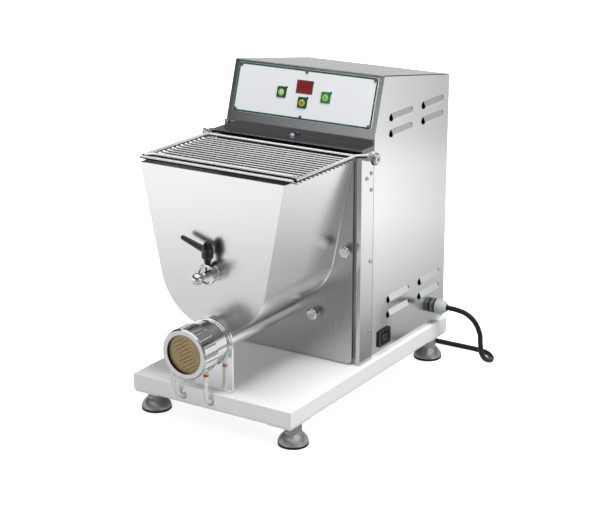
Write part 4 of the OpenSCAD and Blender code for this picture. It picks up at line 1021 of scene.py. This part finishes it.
class PASTA_OT_lid_frame(bpy.types.Operator):
    """Bend the lid's rim from one rod, with its cross rods and hinge ears"""

    bl_idname = "pasta.lid_frame"
    bl_label = "Lid frame"

    def execute(self, context):
        run = LID_REAR - LID_FRONT - LID_BEND
        out = (EAR_X + EAR_T / 2 - LID_X, EAR_STEP, 0)
        front = LID_FRONT + LID_BEND
        side = LID_X - LID_BEND
        turns = [((x, front, LID_Z), math.pi / 2) for x in (-side, side)]
        moves = [(out[0], -out[1], 0), (0, -run, 0), turns[0], (2 * side, 0, 0), turns[1], (0, run, 0), out]
        rim_rod = bent_rod(RIM_R, (-LID_X - out[0], LID_REAR + out[1], LID_Z), moves)
        for y in (LID_FRONT + BRACE_IN, LID_REAR):
            rod = turned([(BRACE_R, 0), (BRACE_R, 2 * LID_X)], 20)
            rod.matrix_world = crosswise(-LID_X, y, LID_Z)
            cut(rim_rod, rod, "UNION")
        reach = LID_REAR + EAR_STEP + 2 - PIVOT[0]
        rise = LID_Z - PIVOT[1]
        tilt = Matrix.Rotation(math.atan2(rise, reach), 4, "X") @ Matrix.Translation((0, 0, -ARM_W / 2 * MM))
        for x in (EAR_X, -EAR_X - EAR_T):
            ear = turned([(EAR_R, 0), (EAR_R, EAR_T)], 40)
            hole = turned([(HOLE_R, -1), (HOLE_R, EAR_T + 1)], 24)
            ear.matrix_world = hole.matrix_world = crosswise(x, *PIVOT)
            arm = plate(EAR_T - 0.4, math.hypot(reach, rise) + 9, 0, ARM_W)
            middle = at(x + EAR_T / 2, PIVOT[0] + reach / 2, PIVOT[1] + rise / 2)
            arm.matrix_world = Matrix.Translation(middle) @ tilt
            cut(ear, arm, "UNION")
            cut(ear, hole)
            cut(rim_rod, ear, "UNION")
        settle(rim_rod, "lid_rim", "lid", FINISHES["wire"])
        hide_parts("lid_frame")
        return {"FINISHED"}


class PASTA_OT_lid_wires(bpy.types.Operator):
    """Lay the lid's cross wires under its side rods"""

    bl_idname = "pasta.lid_wires"
    bl_label = "Lid wires"

    def execute(self, context):
        radius = context.scene.pasta_lid.wire_d / MM / 2
        length = context.scene.pasta_lid.wire_length / MM
        end = radius * 0.35
        rod = turned([(radius - end, 0), (radius, end), (radius, length - end), (radius - end, length)], 20)
        rows = [WIRE_FIRST + i * WIRE_PITCH for i in range(WIRE_COUNT)]
        wires = copies(rod, [crosswise(-length / 2, y, WIRE_Z) for y in rows])
        settle(wires, "lid_cross_wires", "lid", FINISHES["wire"])
        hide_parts("lid_wires")
        return {"FINISHED"}


# ---------------------------------------------------------------- screws

FLANGE_SCREWS = [(249, 83), (249, 202), (249, 321), (249, 348), (235, 342)]  # y and z, mm


def cross_head(radius, height):
    """Pan-head screw with a cross recess, its head on its own XY plane; sizes in mm."""
    shape = [(1, 0), (1, 0.5), (0.93, 0.82), (0.8, 0.95), (0.2, 1)]  # shares of the radius and height
    head = turned([(radius * across, height * up) for across, up in shape], 28)
    arm = plate(radius * 1.25, radius * 0.24, 0, height)
    arm.location.z = height * 0.45 * MM
    cross = copies(arm, [Matrix(), Matrix.Rotation(math.pi / 2, 4, "Z")])
    return cut(head, cross)


class PASTA_OT_screws(bpy.types.Operator):
    """Fit cross-head screws in the side flanges"""

    bl_idname = "pasta.screws"
    bl_label = "Screws"

    def execute(self, context):
        places = []
        for side in (1, -1):
            for i, (y, z) in enumerate(FLANGE_SCREWS):
                spin = Matrix.Rotation(0.5 + 1.1 * i, 4, "Z")
                places.append(crosswise(side * COLUMN_X, y, z, side) @ spin)
        heads = copies(cross_head(3.4, 1.8), places)
        settle(heads, "flange_screw_heads", "machine", FINISHES["screw"])
        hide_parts("flange_screws")
        return {"FINISHED"}


# ---------------------------------------------------------------- finishes and studio

TO_CAMERA = (0.54, -0.84, 0.0)  # way from the machine towards its front right: the surround is dark there, as if a dark flag stood there, and the floor has painted shade that way as the metal sees it


class PASTA_OT_finishes(bpy.types.Operator):
    """Give every carried-over part its finish"""

    bl_idname = "pasta.finishes"
    bl_label = "Finishes"

    def execute(self, context):
        for finish, nodes in NODE_FINISHES.items():
            for name in nodes:
                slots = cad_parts[name].data.materials
                slots.clear()
                slots.append(FINISHES[finish])
        return {"FINISHED"}


def floor_material():
    """Matt white studio floor: white with a soft shadow; as the metal sees it, it has painted light and
    shade, grey near the machine and dark towards the front right.
    """
    made, tree, shader = new_material("matt_white_floor", "#F2F2F2", Roughness=0.9, Specular_IOR_Level=0.1)
    place = add_node(tree, "ShaderNodeTexCoord").outputs["Object"]
    away = add_node(tree, "ShaderNodeVectorMath", {0: place}, operation="LENGTH").outputs["Value"]
    path = add_node(tree, "ShaderNodeLightPath").outputs
    ends = {"Value": away, "From Min": 0.3, "From Max": 1.1, "To Min": 0.75, "To Max": 1.4}
    glow = add_node(tree, "ShaderNodeMapRange", ends).outputs["Result"]
    # painted light and shade: as the metal sees it, the floor is dark near the machine and brightest about a
    # metre away
    ahead = levels(tree, away, (0.3, 0.27), (0.48, 0.72), (0.8, 0.7), (1.0, 0.73), (1.5, 1.15))
    behind = levels(
        tree, away, (0.26, 0.38), (0.42, 0.44), (0.6, 0.62), (0.8, 0.8), (1.2, 1.12), (1.7, 1.1), (2.0, 0.8)
    )
    ends = {"Factor": share(tree, place, "Y", -0.2, 0.2), "A": ahead, "B": behind}
    in_metal = add_node(tree, "ShaderNodeMix", ends, data_type="RGBA").outputs["Result"]
    # painted shade: as the metal sees it, the floor is darker still towards the front right, beyond about
    # half a metre
    way = add_node(tree, "ShaderNodeVectorMath", {0: place}, operation="NORMALIZE").outputs[0]
    flag = add_node(tree, "ShaderNodeVectorMath", {0: way, 1: TO_CAMERA}, operation="DOT_PRODUCT")
    ends = {"Value": flag.outputs["Value"], "From Min": 0.6, "From Max": 0.9, "To Max": 0.75}
    flag = add_node(tree, "ShaderNodeMapRange", ends).outputs["Result"]
    near = add_node(tree, "ShaderNodeMapRange", {"Value": away, "From Min": 0.5, "From Max": 0.72})
    flag = add_node(tree, "ShaderNodeMath", {0: flag, 1: near.outputs["Result"]}, operation="MULTIPLY")
    in_metal = add_node(tree, "ShaderNodeMix", {"Factor": flag.outputs["Value"], "A": in_metal, "B": 0.12})
    shiny = path["Is Glossy Ray"]
    ends = {0: shiny, 1: in_metal.outputs["Result"]}
    in_metal = add_node(tree, "ShaderNodeMath", ends, operation="MULTIPLY").outputs["Value"]
    ends = {0: path["Is Camera Ray"], 1: glow, 2: in_metal}
    glow = add_node(tree, "ShaderNodeMath", ends, operation="MULTIPLY_ADD").outputs["Value"]
    shader.inputs["Emission Color"].default_value = (1, 1, 1, 1)
    tree.links.new(glow, shader.inputs["Emission Strength"])
    ends = {0: path["Is Diffuse Ray"], 1: 0.55, 2: shiny}
    dim = add_node(tree, "ShaderNodeMath", ends, operation="MULTIPLY_ADD").outputs["Value"]
    tint(tree, shader, dim, "#F2F2F2", "#000000")
    return made


def studio_world():
    """White horizon behind the machine in a dark room, so that the metal shows black and white bands."""
    world = bpy.data.worlds.new("studio")
    bpy.context.scene.world = world
    world.use_nodes = True
    tree = world.node_tree
    tree.nodes.clear()
    way = add_node(tree, "ShaderNodeTexCoord").outputs["Generated"]
    ends = {0: share(tree, way, "X", -0.2, 0.2, 0.6, 0.95), 1: share(tree, way, "Z", 0.11, 0.32, 1.0, 0.04)}
    behind = add_node(tree, "ShaderNodeMath", ends, operation="MULTIPLY").outputs["Value"]
    ahead = share(tree, way, "Z", 0.21, 0.32, 1.0, share(tree, way, "X", 0.1, 0.5, 0.04, 0.4))
    flag = add_node(tree, "ShaderNodeVectorMath", {0: way, 1: TO_CAMERA}, operation="DOT_PRODUCT")
    ends = {"Value": flag.outputs["Value"], "From Min": 0.75, "From Max": 0.9}
    flag = add_node(tree, "ShaderNodeMapRange", ends).outputs["Result"]
    side = share(tree, way, "Y", -0.25, 0.25)
    above = share(tree, way, "Z", 0.65, 0.73)
    level = ahead
    for factor, other in ((flag, 0.16), (side, behind), (above, 1.1)):
        level = add_node(tree, "ShaderNodeMix", {"Factor": factor, "A": level, "B": other}).outputs["Result"]
    path = add_node(tree, "ShaderNodeLightPath").outputs
    camera, metal, plain = (
        add_node(tree, "ShaderNodeBackground", {"Color": (1, 1, 1, 1), "Strength": strength}).outputs[0]
        for strength in (1.0, level, 0.16)
    )
    ends = {0: path["Is Glossy Ray"], 1: path["Is Transmission Ray"]}
    shiny = add_node(tree, "ShaderNodeMath", ends, operation="MAXIMUM").outputs["Value"]
    inner = add_node(tree, "ShaderNodeMixShader", {0: shiny, 1: plain, 2: metal}).outputs[0]
    final = add_node(tree, "ShaderNodeMixShader", {0: path["Is Camera Ray"], 1: inner, 2: camera}).outputs[0]
    add_node(tree, "ShaderNodeOutputWorld", {"Surface": final})


def softbox(name, place, target, size, power):
    """Square soft lamp turned to a target."""
    deselect()
    bpy.ops.object.light_add(type="AREA", location=place)
    lamp = bpy.context.object
    lamp.name = name
    lamp.data.shape = "RECTANGLE"
    lamp.data.size, lamp.data.size_y = size
    lamp.data.energy = power
    lamp.rotation_euler = (Vector(target) - Vector(place)).to_track_quat("-Z", "Y").to_euler()
    lamp.visible_camera = lamp.visible_glossy = False
    return lamp


class PASTA_OT_studio(bpy.types.Operator):
    """Set the floor, the soft lamps and the surround"""

    bl_idname = "pasta.studio"
    bl_label = "Studio"

    def execute(self, context):
        deselect()
        bpy.ops.mesh.primitive_plane_add(size=context.scene.pasta_studio.floor_size, location=(0, 0, -0.0003))
        floor = context.object
        floor.name = "studio_floor"
        floor.data.materials.append(floor_material())
        middle = (0, 0, 0.25)
        softbox("front_softbox", (-0.3, -2.8, 0.8), middle, (1.4, 1.0), 23)
        softbox("side_softbox", (2.6, -0.4, 0.9), middle, (1.0, 1.6), 32)
        softbox("top_softbox", (0.7, -0.1, 2.9), middle, (1.2, 1.2), 74)
        softbox("rear_softbox", (-1.7, 2.2, 1.0), middle, (1.4, 1.4), 26)
        studio_world()
        context.scene.view_settings.view_transform = "Standard"
        return {"FINISHED"}


# ---------------------------------------------------------------- add-on

OPERATORS = [
    PASTA_OT_camera, PASTA_OT_supply_cord, PASTA_OT_water_hoses, PASTA_OT_label_print, PASTA_OT_key_marks,
    PASTA_OT_display_digits, PASTA_OT_tub, PASTA_OT_lid_frame, PASTA_OT_lid_wires, PASTA_OT_screws,
    PASTA_OT_finishes, PASTA_OT_studio,
]


class PASTA_PT_panel(bpy.types.Panel):
    """Steps that finish the pasta maker"""

    bl_label = "Pasta maker"
    bl_space_type = "VIEW_3D"
    bl_region_type = "UI"
    bl_category = "Pasta maker"

    def draw(self, context):
        for name, group in SETTINGS.items():
            box = self.layout.box()
            for key in group.__annotations__:
                box.prop(getattr(context.scene, name), key)
        for step in OPERATORS:
            self.layout.operator(step.bl_idname)


def register():
    for group in (*SETTINGS.values(), *OPERATORS, PASTA_PT_panel):
        bpy.utils.register_class(group)
    for name, group in SETTINGS.items():
        setattr(bpy.types.Scene, name, PointerProperty(type=group))
    make_finishes()


def unregister():
    for name in SETTINGS:
        delattr(bpy.types.Scene, name)
    for group in (PASTA_PT_panel, *reversed(OPERATORS), *SETTINGS.values()):
        bpy.utils.unregister_class(group)


def main():
    register()
    for step in OPERATORS:
        area, name = step.bl_idname.split(".")
        getattr(getattr(bpy.ops, area), name)()


if __name__ == "__main__":
    main()
